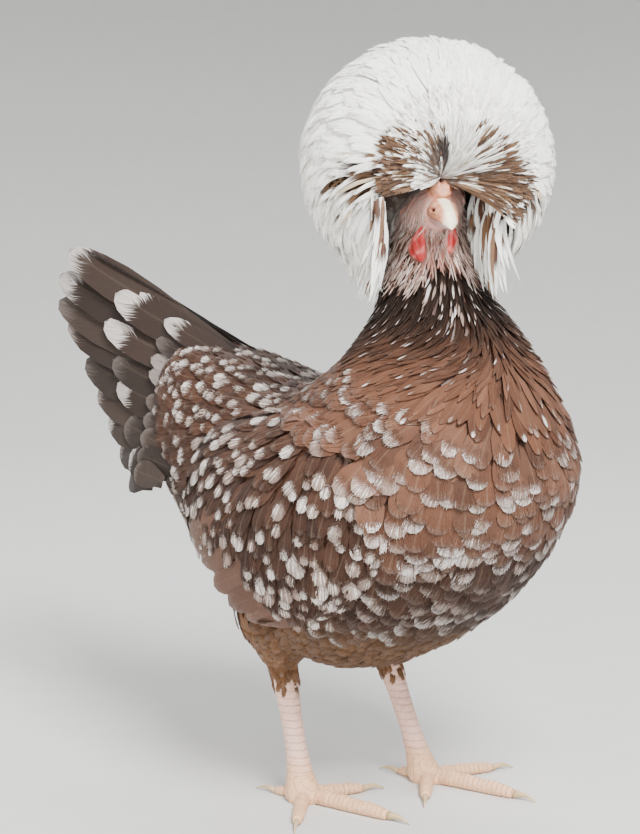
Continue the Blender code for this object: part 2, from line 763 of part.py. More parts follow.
def make_legs(trunk):
    """Both legs, each with its thigh, shank, four toes and their claws."""
    for side_name, (side, foot, hock) in LEGS.items():
        make_thigh(side_name, side, hock, trunk)
        shank = make_shank(side_name, foot, hock)
        for toe_name, (turn, length, radius) in TOES[side_name].items():
            heading = toe_direction(side, turn)
            label = f"{side_name}_{toe_name}"
            make_toe(label, foot, heading, length, radius, shank)
            end = radius * TOE_GIRTH[-1][1]
            start = foot + heading * (length + GAP) + Vector((0, 0, end * TOE_SINKS))
            make_claw(label, start, heading, end * CLAW_GIRTH)


def stand_at_origin():
    """Moves every solid so that the hen's box is centred over the origin."""
    for obj in bpy.data.objects:
        obj.data.transform(Matrix.Translation(STANDING_SHIFT))


def main():
    """Models the hen from trunk to claws."""
    clear_scene()
    trunk = make_trunk()
    neck = make_neck()
    head = make_head()
    cut(neck, [grown_copy(head)])
    beak_upper, beak_lower = make_bill()
    comb = make_comb(head, beak_upper)
    make_wattles([head, beak_lower, neck])
    earlobes = make_earlobes([head, neck])
    make_crest([head, neck, comb, *earlobes])
    eyes = make_eyes()
    cut(head, [grown_copy(eye) for eye in eyes])
    make_legs(trunk)
    make_wings(trunk)
    make_tail(trunk)
    stand_at_origin()


main()
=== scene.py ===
"""A white-crested spangled hen as a still, life-size model on a plain floor.

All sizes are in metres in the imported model's frame. The bird faces -Y, its right side is -X.
"""

import logging
import math
from collections.abc import Callable, Sequence
from dataclasses import dataclass, field
from enum import Enum
from functools import partial

import bpy
import numpy as np
from mathutils import Matrix, Vector
from mathutils.bvhtree import BVHTree


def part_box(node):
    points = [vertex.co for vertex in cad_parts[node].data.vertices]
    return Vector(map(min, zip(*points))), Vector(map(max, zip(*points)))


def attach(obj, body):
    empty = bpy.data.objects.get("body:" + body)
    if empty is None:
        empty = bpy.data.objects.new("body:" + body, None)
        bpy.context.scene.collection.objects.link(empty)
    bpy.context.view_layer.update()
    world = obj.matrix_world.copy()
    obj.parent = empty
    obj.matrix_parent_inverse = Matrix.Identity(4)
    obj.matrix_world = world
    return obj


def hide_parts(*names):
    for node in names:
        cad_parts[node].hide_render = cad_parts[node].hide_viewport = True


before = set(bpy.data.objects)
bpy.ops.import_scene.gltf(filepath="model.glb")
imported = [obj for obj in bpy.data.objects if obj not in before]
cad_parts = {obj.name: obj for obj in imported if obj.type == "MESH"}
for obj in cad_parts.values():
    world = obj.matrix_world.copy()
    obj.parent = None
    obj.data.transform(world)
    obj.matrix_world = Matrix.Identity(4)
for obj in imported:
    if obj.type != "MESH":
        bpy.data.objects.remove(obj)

LOG = logging.getLogger("hen")

Pair = tuple[float, float]
Triple = tuple[float, float, float]
Colour = Triple
Rows = np.ndarray


def both(*names: str) -> tuple[str, ...]:
    """Gives each name once for the left side and once for the right."""
    return tuple(f"{name}_{side}" for name in names for side in ("left", "right"))


FACE_NODES = ("head", "comb", *both("wattle", "earlobe"))
TOE_NODES = tuple(f"{foot}_{toe}" for foot in both("toe") for toe in ("hind", "inner", "middle", "outer"))
BARE = (*FACE_NODES, *both("shank"), *TOE_NODES)
FLESH = ("trunk", "neck", *FACE_NODES, *both("wing", "thigh", "shank"), *TOE_NODES)

BROWN = (0.080, 0.034, 0.019)
WARM_BROWN = (0.118, 0.055, 0.033)
DARK_BROWN = (0.022, 0.010, 0.007)
GREY_BROWN = (0.040, 0.027, 0.021)
TAN = (0.175, 0.092, 0.048)
THIGH_TAN = (0.215, 0.105, 0.046)
CREAM = (0.640, 0.520, 0.360)
TIP_WHITE = (0.640, 0.580, 0.545)
TIP_DULL = (0.270, 0.195, 0.160)
CREST_WHITE = (0.920, 0.910, 0.850)
LILAC_WHITE = (0.620, 0.570, 0.590)
LEG_PINK = (0.850, 0.560, 0.450)
FOOT_BUFF = (0.840, 0.510, 0.290)
FACE_PINK = (0.640, 0.340, 0.275)
FACE_GREY = (0.560, 0.360, 0.310)
FACE_DOWN = (0.720, 0.530, 0.460)
CHIN_RED = (0.560, 0.240, 0.180)
WATTLE_RED = (0.460, 0.006, 0.010)
WATTLE_PINK = (0.760, 0.200, 0.180)
LOBE_WHITE = (0.640, 0.540, 0.480)
KNOB_PINK = (0.800, 0.330, 0.185)
SPOT_DARK = (0.120, 0.030, 0.025)

UNMARKED = -0.3
ALL_WHITE = 1.5


def smooth(low: float, high: float, value: Rows) -> Rows:
    """Gives a smooth step from 0 at low to 1 at high."""
    part = np.clip((value - low) / (high - low), 0.0, 1.0)
    return part * part * (3.0 - 2.0 * part)


def bell(value: Rows, width: float) -> Rows:
    """Gives a bell of height 1 round 0."""
    return np.exp(-((value / width) ** 2))


def unit(vectors: Rows) -> Rows:
    """Gives the vectors at length 1."""
    return vectors / np.maximum(np.linalg.norm(vectors, axis=-1, keepdims=True), 1e-9)


def flat_to(vectors: Rows, normals: Rows) -> Rows:
    """Gives the vectors laid along the surface that has these normals."""
    return unit(vectors - (vectors * normals).sum(-1, keepdims=True) * normals)


def turned(ways: Rows, normals: Rows, turn: Rows) -> Rows:
    """Turns directions about their normals by these angles in radians."""
    return ways * np.cos(turn)[:, None] + np.cross(normals, ways) * np.sin(turn)[:, None]


def rows_of(colour: Colour, count: int) -> Rows:
    """Gives that many rows of one colour."""
    return np.tile(np.array(colour), (count, 1))


def tinted(ground: Rows, colour: Colour, share: Rows) -> Rows:
    """Takes rows of colour a share of the way towards one colour."""
    return ground + share[:, None] * (np.array(colour) - ground)


def dyed(ground: Rows, colour: Colour, chosen: Rows) -> Rows:
    """Gives the chosen rows one colour outright."""
    return np.where(chosen[:, None], np.array(colour), ground)


def deselect() -> None:
    """Leaves object mode with nothing selected."""
    if bpy.context.mode != "OBJECT":
        bpy.ops.object.mode_set(mode="OBJECT")
    bpy.ops.object.select_all(action="DESELECT")


def pick(*objects: bpy.types.Object) -> None:
    """Selects these objects alone and makes the first active."""
    deselect()
    for obj in objects:
        obj.select_set(True)
    bpy.context.view_layer.objects.active = objects[0]


def shade_smooth(obj: bpy.types.Object) -> None:
    """Shades an object smooth."""
    pick(obj)
    bpy.ops.object.shade_smooth()


def apply_modifier(obj: bpy.types.Object, kind: str, **settings: object) -> None:
    """Adds a modifier with these settings and applies it.

    Args:
        obj: The object that gets it.
        kind: The modifier's type name.
        settings: Its values by name.
    """
    pick(obj)
    modifier = obj.modifiers.new(kind.lower(), kind)
    for name, value in settings.items():
        setattr(modifier, name, value)
    bpy.ops.object.modifier_apply(modifier=modifier.name)


def recast(obj: bpy.types.Object, voxel: float, passes: int) -> None:
    """Casts an object's shells into one closed shell and smooths it.

    Args:
        obj: The object.
        voxel: The size of the new faces.
        passes: How often it is smoothed.
    """
    apply_modifier(obj, "REMESH", mode="VOXEL", voxel_size=voxel, adaptivity=0.0)
    apply_modifier(obj, "SMOOTH", factor=0.5, iterations=passes)


def copy_of(node: str) -> bpy.types.Object:
    """Gives a welded copy of a CAD node.

    Args:
        node: The node's name.

    Returns:
        The copy, linked to the scene.
    """
    copy = bpy.data.objects.new(node + "_copy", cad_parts[node].data.copy())
    copy.data.materials.clear()
    bpy.context.scene.collection.objects.link(copy)
    pick(copy)
    bpy.ops.object.mode_set(mode="EDIT")
    bpy.ops.mesh.select_all(action="SELECT")
    bpy.ops.mesh.remove_doubles(threshold=0.00002)
    bpy.ops.object.mode_set(mode="OBJECT")
    return copy


def joined_copy(name: str, nodes: Sequence[str]) -> bpy.types.Object:
    """Gives one object from welded copies of several CAD nodes.

    Args:
        name: The new object's name.
        nodes: The nodes to copy.

    Returns:
        The joined object.
    """
    copies = [copy_of(node) for node in nodes]
    pick(*copies)
    bpy.ops.object.join()
    copies[0].name = name
    copies[0].data.name = name
    return copies[0]


def read_rows(items: bpy.types.bpy_prop_collection, name: str) -> Rows:
    """Reads one vector of each part of a mesh as rows."""
    flat = np.empty(len(items) * 3, np.float32)
    items.foreach_get(name, flat)
    return flat.reshape(-1, 3).astype(float)


def points_of(obj: bpy.types.Object) -> Rows:
    """Gives the vertex places of a mesh object."""
    return read_rows(obj.data.vertices, "co")


def normals_of(obj: bpy.types.Object) -> Rows:
    """Gives the vertex normals of a mesh object."""
    return read_rows(obj.data.vertex_normals, "vector")


def move_to(obj: bpy.types.Object, points: Rows) -> None:
    """Moves the vertices of a mesh object to these places."""
    obj.data.vertices.foreach_set("co", points.astype(np.float32).ravel())
    obj.data.update()


def paint(mesh: bpy.types.Mesh, label: str, rows: Rows) -> None:
    """Writes a colour attribute from a row of three numbers for each vertex."""
    attribute = mesh.color_attributes.new(label, "FLOAT_COLOR", "POINT")
    full = np.concatenate((rows, np.ones((len(rows), 1))), 1).astype(np.float32)
    attribute.data.foreach_set("color", full.ravel())


def tree_of(nodes: Sequence[str]) -> BVHTree:
    """Gives a search tree over the faces of several CAD nodes."""
    places: list[Vector] = []
    faces: list[tuple[int, ...]] = []
    for node in nodes:
        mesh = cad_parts[node].data
        start = len(places)
        places.extend(v.co.copy() for v in mesh.vertices)
        faces.extend(tuple(i + start for i in p.vertices) for p in mesh.polygons)
    return BVHTree.FromPolygons(places, faces)


def distances(tree: BVHTree, points: Rows, reach: float) -> Rows:
    """Gives each point's distance to the tree's faces, or reach where that is nearer."""
    found = np.full(len(points), reach)
    for index, point in enumerate(points):
        hit = tree.find_nearest(point, reach)
        if hit[3] is not None:
            found[index] = hit[3]
    return found


def finish_piece(
    obj: bpy.types.Object, material: bpy.types.Material, nodes: Sequence[str] = ()
) -> None:
    """Gives a piece its material and its body, and reports it.

    Args:
        obj: The piece.
        material: Its finish.
        nodes: The CAD nodes that it stands for.
    """
    obj.data.materials.clear()
    obj.data.materials.append(material)
    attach(obj, "root")
    if nodes:
        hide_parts(*nodes)
    LOG.info("%s: %d faces", obj.name, len(obj.data.polygons))


@dataclass(frozen=True)
class HenPlan:
    """Where the hen's head and crest are, and how its coat is mapped."""

    shift: Triple = (-0.0004, -0.0646, 0.0)
    head_centre: Triple = (-0.0151, -0.0571, 0.333)
    head_turn: float = math.radians(32.0)
    head_pitch: float = math.radians(10.0)
    crest_from_head: Triple = (-0.012, 0.003, 0.0)
    crest_height: float = 0.3515
    crest_half: Triple = (0.061, 0.0668, 0.065)
    body_line: tuple[Pair, ...] = (
        (0.152, 0.214), (0.087, 0.178), (0.045, 0.157), (0.003, 0.154), (-0.039, 0.180),
        (-0.065, 0.214), (-0.064, 0.246), (-0.059, 0.270), (-0.052, 0.290), (-0.050, 0.330),
    )
    chart_edge: float = 0.03

    def at(self, x: float, y: float, z: float) -> Rows:
        """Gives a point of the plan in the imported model's frame."""
        return np.array((x, y, z)) + np.array(self.shift)

    def own(self, points: Rows) -> Rows:
        """Gives the plan's x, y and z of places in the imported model's frame."""
        return (points - np.array(self.shift)).T

    def head(self) -> Matrix:
        """Gives the matrix from the head's own axes: ahead, left, up."""
        place = Matrix.Translation(Vector(self.at(*self.head_centre)))
        turn = Matrix.Rotation(-math.pi / 2.0 - self.head_turn, 4, "Z")
        return place @ turn @ Matrix.Rotation(self.head_pitch, 4, "Y")

    def on_head(self, ahead: float, left: float, up: float) -> Rows:
        """Gives a point of the head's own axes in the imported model's frame."""
        return np.array(self.head() @ Vector((ahead, left, up)))

    def head_way(self, ahead: float, left: float, up: float) -> Rows:
        """Gives a direction of the head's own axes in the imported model's frame."""
        return np.array(self.head().to_3x3() @ Vector((ahead, left, up)))

    def head_parts(self, points: Rows) -> Rows:
        """Gives points as ahead, left and up of the head's middle."""
        back = np.array(self.head().inverted())
        return points @ back[:3, :3].T + back[:3, 3]

    def crest_centre(self) -> Rows:
        """Gives the middle of the crest's globe."""
        centre = self.on_head(*self.crest_from_head)
        centre[2] = self.crest_height
        return centre

    def on_chart(self, across: Rows, along: Rows) -> Rows:
        """Gives map places inside the chart's edge from two rows from 0 to 1."""
        return np.stack([self.chart_edge + (1.0 - 2.0 * self.chart_edge) * row for row in (across, along)], 1)

    def chart(self, points: Rows) -> Rows:
        """Unwraps the body: part of the body line against the turn about it.

        Args:
            points: Places on the hen's surface.

        Returns:
            A row of two numbers from 0 to 1 for each place.
        """
        line = np.array(self.body_line) + np.array(self.shift)[1:]
        spot = points[:, 1:]
        best = np.full(len(points), 1e9)
        part = np.zeros(len(points))
        turn = np.zeros(len(points))
        count = len(line) - 1
        for index in range(count):
            start, step = line[index], line[index + 1] - line[index]
            share = np.clip(((spot - start) @ step) / (step @ step), 0.0, 1.0)
            off = spot - (start + share[:, None] * step)
            apart = np.linalg.norm(off, axis=1)
            across = np.array((step[1], -step[0])) / np.linalg.norm(step)
            nearer = apart < best
            best = np.where(nearer, apart, best)
            part = np.where(nearer, (index + share) / count, part)
            turn = np.where(nearer, np.arctan2(points[:, 0] - self.shift[0], off @ across), turn)
        return self.on_chart(turn / (2.0 * math.pi) + 0.5, part)


PLAN = HenPlan()


class Patch(Enum):
    """The parts of the coat, each with its own kind of feather."""

    HACKLE = 0
    BREAST = 1
    SADDLE = 2
    COVERTS = 3
    THIGH = 4


class Nodes:
    """A small helper that adds and links shader nodes."""

    def __init__(self, name: str) -> None:
        """Starts a material of that name with its shader alone."""
        self.material = bpy.data.materials.new(name)
        self.material.use_nodes = True
        self.tree = self.material.node_tree
        self.shader = self.tree.nodes["Principled BSDF"]

    def add(self, kind: str, **settings: object) -> bpy.types.Node:
        """Adds a node and sets its values by name."""
        node = self.tree.nodes.new(kind)
        for name, value in settings.items():
            setattr(node, name, value)
        return node

    def put(self, value: object, socket: bpy.types.NodeSocket) -> None:
        """Links an output to a socket, or sets the socket to a constant."""
        if isinstance(value, bpy.types.NodeSocket):
            self.tree.links.new(value, socket)
        else:
            socket.default_value = value

    def math(self, operation: str, *values: object) -> bpy.types.NodeSocket:
        """Adds a math node on these values and gives its output."""
        node = self.add("ShaderNodeMath", operation=operation)
        for socket, value in zip(node.inputs, values):
            self.put(value, socket)
        return node.outputs[0]

    def times(self, first: object, second: object) -> bpy.types.NodeSocket:
        """Multiplies two values."""
        return self.math("MULTIPLY", first, second)

    def plus(self, first: object, second: object) -> bpy.types.NodeSocket:
        """Adds two values."""
        return self.math("ADD", first, second)

    def less(self, first: object, second: object) -> bpy.types.NodeSocket:
        """Takes the second value from the first."""
        return self.math("SUBTRACT", first, second)

    def step(self, value: object, low: object, high: object) -> bpy.types.NodeSocket:
        """Adds a smooth step of a value from 0 at low to 1 at high."""
        node = self.add("ShaderNodeMapRange", interpolation_type="SMOOTHSTEP")
        for name, given in (("Value", value), ("From Min", low), ("From Max", high)):
            self.put(given, node.inputs[name])
        return node.outputs["Result"]

    def vector(self, operation: str, first: object, second: object, name: object = 1) -> bpy.types.Node:
        """Adds a vector math node whose second value goes to the input of that name."""
        node = self.add("ShaderNodeVectorMath", operation=operation)
        self.put(first, node.inputs[0])
        self.put(second, node.inputs[name])
        return node

    def mix(self, share: object, first: object, second: object, kind: str = "MIX") -> bpy.types.NodeSocket:
        """Mixes two colours by a share and gives the colour.

        Args:
            share: How much of the second there is.
            first: A colour or an output.
            second: A colour or an output.
            kind: The blend type.

        Returns:
            The mixed colour's socket.
        """
        node = self.add("ShaderNodeMix", data_type="RGBA", blend_type=kind)
        self.put(share, node.inputs["Factor"])
        for value, socket in ((first, node.inputs[6]), (second, node.inputs[7])):
            self.put((*value, 1.0) if isinstance(value, tuple) else value, socket)
        return node.outputs[2]

    def attribute(self, name: str) -> tuple[bpy.types.NodeSocket, list[bpy.types.NodeSocket]]:
        """Reads a colour attribute: its colour, and its three parts."""
        node = self.add("ShaderNodeAttribute", attribute_name=name)
        parts = self.add("ShaderNodeSeparateColor")
        self.put(node.outputs["Color"], parts.inputs[0])
        return node.outputs["Color"], list(parts.outputs)

    def noise(self, vector: bpy.types.NodeSocket, scale: float, detail: float) -> bpy.types.NodeSocket:
        """Adds a noise texture and gives its value."""
        node = self.add("ShaderNodeTexNoise")
        for name, given in (("Vector", vector), ("Scale", scale), ("Detail", detail)):
            self.put(given, node.inputs[name])
        return node.outputs["Fac"]

    def place(self) -> bpy.types.NodeSocket:
        """Gives the object coordinates."""
        return self.add("ShaderNodeTexCoord").outputs["Object"]

    def bump(self, height: bpy.types.NodeSocket, distance: float) -> None:
        """Puts a bump of that height on the shader."""
        node = self.add("ShaderNodeBump")
        for name, given in (("Strength", 1.0), ("Distance", distance), ("Height", height)):
            self.put(given, node.inputs[name])
        self.put(node.outputs["Normal"], self.shader.inputs["Normal"])

    def dressed(self, colour: bpy.types.NodeSocket, **sockets: object) -> bpy.types.Material:
        """Gives the shader its colour and its own constants, and returns the material.

        Args:
            colour: The colour's output.
            sockets: The shader's values by name, in small letters with _ for each space.

        Returns:
            The finished material.
        """
        self.put(colour, self.shader.inputs["Base Color"])
        names = {socket.name.lower().replace(" ", "_"): socket for socket in self.shader.inputs}
        for name, value in sockets.items():
            names[name].default_value = value
        return self.material


@dataclass(frozen=True)
class VaneFinish:
    """The web of a feather: barbs that run out from the shaft, and a pale tip."""

    name: str
    rough: float = 0.62
    sheen: float = 0.06
    shine: float = 0.14
    shaft: float = 0.05
    barb_slant: float = 0.22
    barb_count: float = 34.0
    rim_hook: float = 0.06
    rim_light: float = 0.34
    fray: float = 0.34
    fade: float = 0.26
    shade: float = 0.30
    contrast: float = 0.45
    relief: float = 0.00025
    tip_colour: Colour = TIP_WHITE
    dull_tip: Colour = TIP_DULL

    def streak(self, n: Nodes, across: object, along: object, side: object, seed: object) -> object:
        """Gives the light and dark of the barbs, which slant out from the shaft.

        Args:
            n: The material's nodes.
            across: The place from 0 to 1 across the vane.
            along: The place from 0 at the root to 1 at the tip.
            side: The place from 0 at the shaft to 1 at the rim.
            seed: The feather's own random number.

        Returns:
            The value's output.
        """
        barb = n.less(along, n.times(side, self.barb_slant))
        combed = n.add("ShaderNodeCombineXYZ")
        for row, stretch, socket in zip((barb, across, seed), (self.barb_count, 1.6, 90.0), combed.inputs):
            n.put(n.times(row, stretch), socket)
        return n.noise(combed.outputs[0], 1.7, 3.0)

    def make(self) -> bpy.types.Material:
        """Builds the material.

        Returns:
            The material, which reads the map vane and the attributes ground and mark.
        """
        n = Nodes(self.name)
        split = n.add("ShaderNodeSeparateXYZ")
        n.put(n.add("ShaderNodeUVMap", uv_map="vane").outputs[0], split.inputs[0])
        across, along = split.outputs[0], split.outputs[1]
        side = n.times(n.math("ABSOLUTE", n.less(across, 0.5)), 2.0)
        ground, _ = n.attribute("ground")
        _, (tip, tone, seed) = n.attribute("mark")
        streak = self.streak(n, across, along, side, seed)
        reach = n.times(n.times(side, side), self.rim_hook)
        level = n.plus(n.plus(along, reach), n.times(n.less(streak, 0.5), self.fray))
        edge = n.less(1.0, tip)
        pale = n.step(level, n.less(edge, 0.6 * self.fade), n.plus(edge, 0.4 * self.fade))
        shade = n.step(level, n.less(edge, 0.38), n.less(edge, 0.05))
        web = n.mix(n.times(shade, self.shade), ground, DARK_BROWN)
        web = n.mix(n.times(n.step(level, 0.84, 1.03), self.rim_light), web, self.dull_tip)
        tips = n.mix(n.step(seed, 0.20, 0.85), self.dull_tip, self.tip_colour)
        tips = n.mix(n.times(n.step(streak, 0.60, 0.30), 0.35), tips, ground)
        colour = n.mix(pale, web, tips)
        colour = n.mix(n.times(n.step(side, 0.10, 0.02), self.shaft), colour, CREAM)
        # The mark's tone dims whole feathers, which on the low breast is painted shade.
        lit = n.times(n.plus(1.0 - self.contrast / 2.0, n.times(streak, self.contrast)), tone)
        n.bump(streak, self.relief)
        return n.dressed(
            n.vector("SCALE", colour, lit, "Scale").outputs[0], roughness=self.rough,
            sheen_weight=self.sheen, sheen_roughness=0.5, specular_ior_level=self.shine,
        )


@dataclass(frozen=True)
class SkinFinish:
    """Skin: soft pink on legs and face, red on comb and wattles, the coat's colour elsewhere."""

    name: str = "hen_skin"
    rough: float = 0.48
    mottle: float = 260.0
    grain: float = 1500.0
    scale_cells: float = 520.0
    crease: Colour = (0.46, 0.20, 0.16)
    blotch: Colour = (0.90, 0.90, 0.88)
    blood: Colour = (0.22, 0.07, 0.06)

    def make(self) -> bpy.types.Material:
        """Builds the material.

        Returns:
            The material, which reads the attributes ground and relief.
        """
        n = Nodes(self.name)
        ground, _ = n.attribute("ground")
        _, (scaly, wrinkled, plate) = n.attribute("relief")
        place = n.place()
        mottle = n.noise(place, self.mottle, 4.0)
        grain = n.noise(place, self.grain, 2.0)
        cells = n.add("ShaderNodeTexVoronoi", feature="DISTANCE_TO_EDGE")
        n.put(self.scale_cells, cells.inputs["Scale"])
        n.put(place, cells.inputs["Vector"])
        wave = n.math("ABSOLUTE", n.math("SINE", n.times(plate, math.pi)))
        joint = n.times(n.step(wave, 0.34, 0.05), scaly)
        crease = n.times(n.times(n.step(cells.outputs["Distance"], 0.16, 0.0), scaly), 0.45)
        crease = n.math("MAXIMUM", crease, joint)
        colour = n.mix(n.times(crease, 0.42), ground, self.crease)
        colour = n.mix(n.step(mottle, 0.45, 0.72), colour, self.blotch, "MULTIPLY")
        colour = n.mix(n.times(n.step(mottle, 0.50, 0.30), 0.16), colour, self.blood)
        n.bump(n.less(n.times(grain, n.plus(wrinkled, 0.2)), crease), 0.00035)
        return n.dressed(
            colour, roughness=self.rough, subsurface_weight=0.12, subsurface_radius=(0.004, 0.0015, 0.001)
        )


@dataclass(frozen=True)
class HornFinish:
    """Horn of the lower bill and the claws: smooth, a little clear, darker where it grows or wears."""

    name: str
    root: Colour
    point: Colour
    start: Triple
    end: Triple
    rough: float = 0.34
    grain: float = 420.0
    streak: Colour = (0.30, 0.17, 0.10)

    def make(self) -> bpy.types.Material:
        """Builds the material.

        Returns:
            The material, graded from start to end in object coordinates.
        """
        n = Nodes(self.name)
        place = n.place()
        run = Vector(self.end) - Vector(self.start)
        off = n.vector("SUBTRACT", place, self.start).outputs[0]
        along = n.vector("DOT_PRODUCT", off, tuple(run / run.length_squared)).outputs["Value"]
        grain = n.noise(place, self.grain, 4.0)
        along = n.plus(along, n.times(n.less(grain, 0.5), 0.5))
        colour = n.mix(n.step(along, 0.15, 0.85), self.root, self.point)
        colour = n.mix(n.times(n.step(grain, 0.55, 0.75), 0.25), colour, self.streak)
        n.bump(grain, 0.0002)
        return n.dressed(
            colour, roughness=self.rough, subsurface_weight=0.08,
            subsurface_radius=(0.003, 0.002, 0.001), coat_weight=0.15,
        )


@dataclass(frozen=True)
class BillFinish:
    """The upper bill: flesh-coloured horn with a pale tip, a painted highlight along the ridge and dark
    nostrils.
    """

    name: str = "bill_upper_horn"
    rough: float = 0.36
    grain: float = 380.0
    deep: Colour = (0.60, 0.23, 0.13)
    light: Colour = (0.70, 0.36, 0.22)
    ivory_and_highlight: Colour = (0.84, 0.74, 0.56)
    streak: Colour = (0.45, 0.30, 0.20)
    nostril: Colour = (0.06, 0.015, 0.012)

    def make(self) -> bpy.types.Material:
        """Builds the material, which reads the attribute horn."""
        n = Nodes(self.name)
        _, (pale, dark, _) = n.attribute("horn")
        grain = n.noise(n.place(), self.grain, 4.0)
        colour = n.mix(n.step(grain, 0.40, 0.65), self.deep, self.light)
        # pale holds the pale tip and the painted highlight along the ridge.
        colour = n.mix(pale, colour, self.ivory_and_highlight)
        colour = n.mix(n.times(n.step(grain, 0.58, 0.75), 0.16), colour, self.streak)
        n.bump(grain, 0.0002)
        return n.dressed(
            n.mix(dark, colour, self.nostril), roughness=self.rough,
            subsurface_weight=0.10, subsurface_radius=(0.003, 0.002, 0.001),
        )


@dataclass(frozen=True)
class EyeFinish:
    """The eye: a reddish bay iris round a black pupil, under a clear front."""

    name: str = "hen_eye"
    grain: float = 2200.0
    bay: Colour = (0.42, 0.10, 0.03)
    umber: Colour = (0.16, 0.04, 0.02)
    pupil: Colour = (0.003, 0.003, 0.004)
    rim: Colour = (0.03, 0.015, 0.012)

    def make(self) -> bpy.types.Material:
        """Builds the material, which reads the attribute ring."""
        n = Nodes(self.name)
        _, (ring, _, _) = n.attribute("ring")
        iris = n.noise(n.place(), self.grain, 3.0)
        colour = n.mix(n.times(iris, 0.6), self.bay, self.umber)
        colour = n.mix(n.step(ring, 0.42, 0.36), colour, self.pupil)
        colour = n.mix(n.step(ring, 0.80, 0.90), colour, self.rim)
        return n.dressed(colour, roughness=0.08, coat_weight=1.0, coat_roughness=0.03)


@dataclass(frozen=True)
class DownFinish:
    """The crest's down: the feathers' colours, with the painted shade that they carry, broken into fine
    tufts.
    """

    name: str = "crest_down"
    rough: float = 0.9
    grain: float = 700.0
    hollow: Colour = (0.50, 0.44, 0.38)

    def make(self) -> bpy.types.Material:
        """Builds the material, which reads the attribute ground."""
        n = Nodes(self.name)
        ground, _ = n.attribute("ground")
        tuft = n.noise(n.place(), self.grain, 3.0)
        n.bump(tuft, 0.0006)
        return n.dressed(n.mix(tuft, ground, self.hollow, "MULTIPLY"), roughness=self.rough)


@dataclass(frozen=True)
class FloorFinish:
    """The studio's matt pale floor."""

    name: str = "studio_floor"
    rough: float = 0.85
    grain: float = 30.0
    deep: Colour = (0.60, 0.59, 0.57)
    light: Colour = (0.64, 0.63, 0.61)

    def make(self) -> bpy.types.Material:
        """Builds the material."""
        n = Nodes(self.name)
        grain = n.noise(n.place(), self.grain, 3.0)
        return n.dressed(n.mix(grain, self.deep, self.light), roughness=self.rough)


def outline(along: Rows, root: float, belly: float, blunt: float) -> Rows:
    """Gives a feather's half width at each station as a share of its widest.

    Args:
        along: The stations from 0 at the root to 1 at the tip.
        root: The share at the root.
        belly: Where along it is widest.
        blunt: The power of the tip's arc: high is blunt and round, low is pointed.

    Returns:
        A share for each station.
    """
    grow = root + (1.0 - root) * smooth(0.0, belly, along)
    fall = np.clip((along - belly) / (1.0 - belly), 0.0, 1.0)
    return np.maximum(grow * (1.0 - fall ** blunt) ** (1.0 / blunt), 0.06)


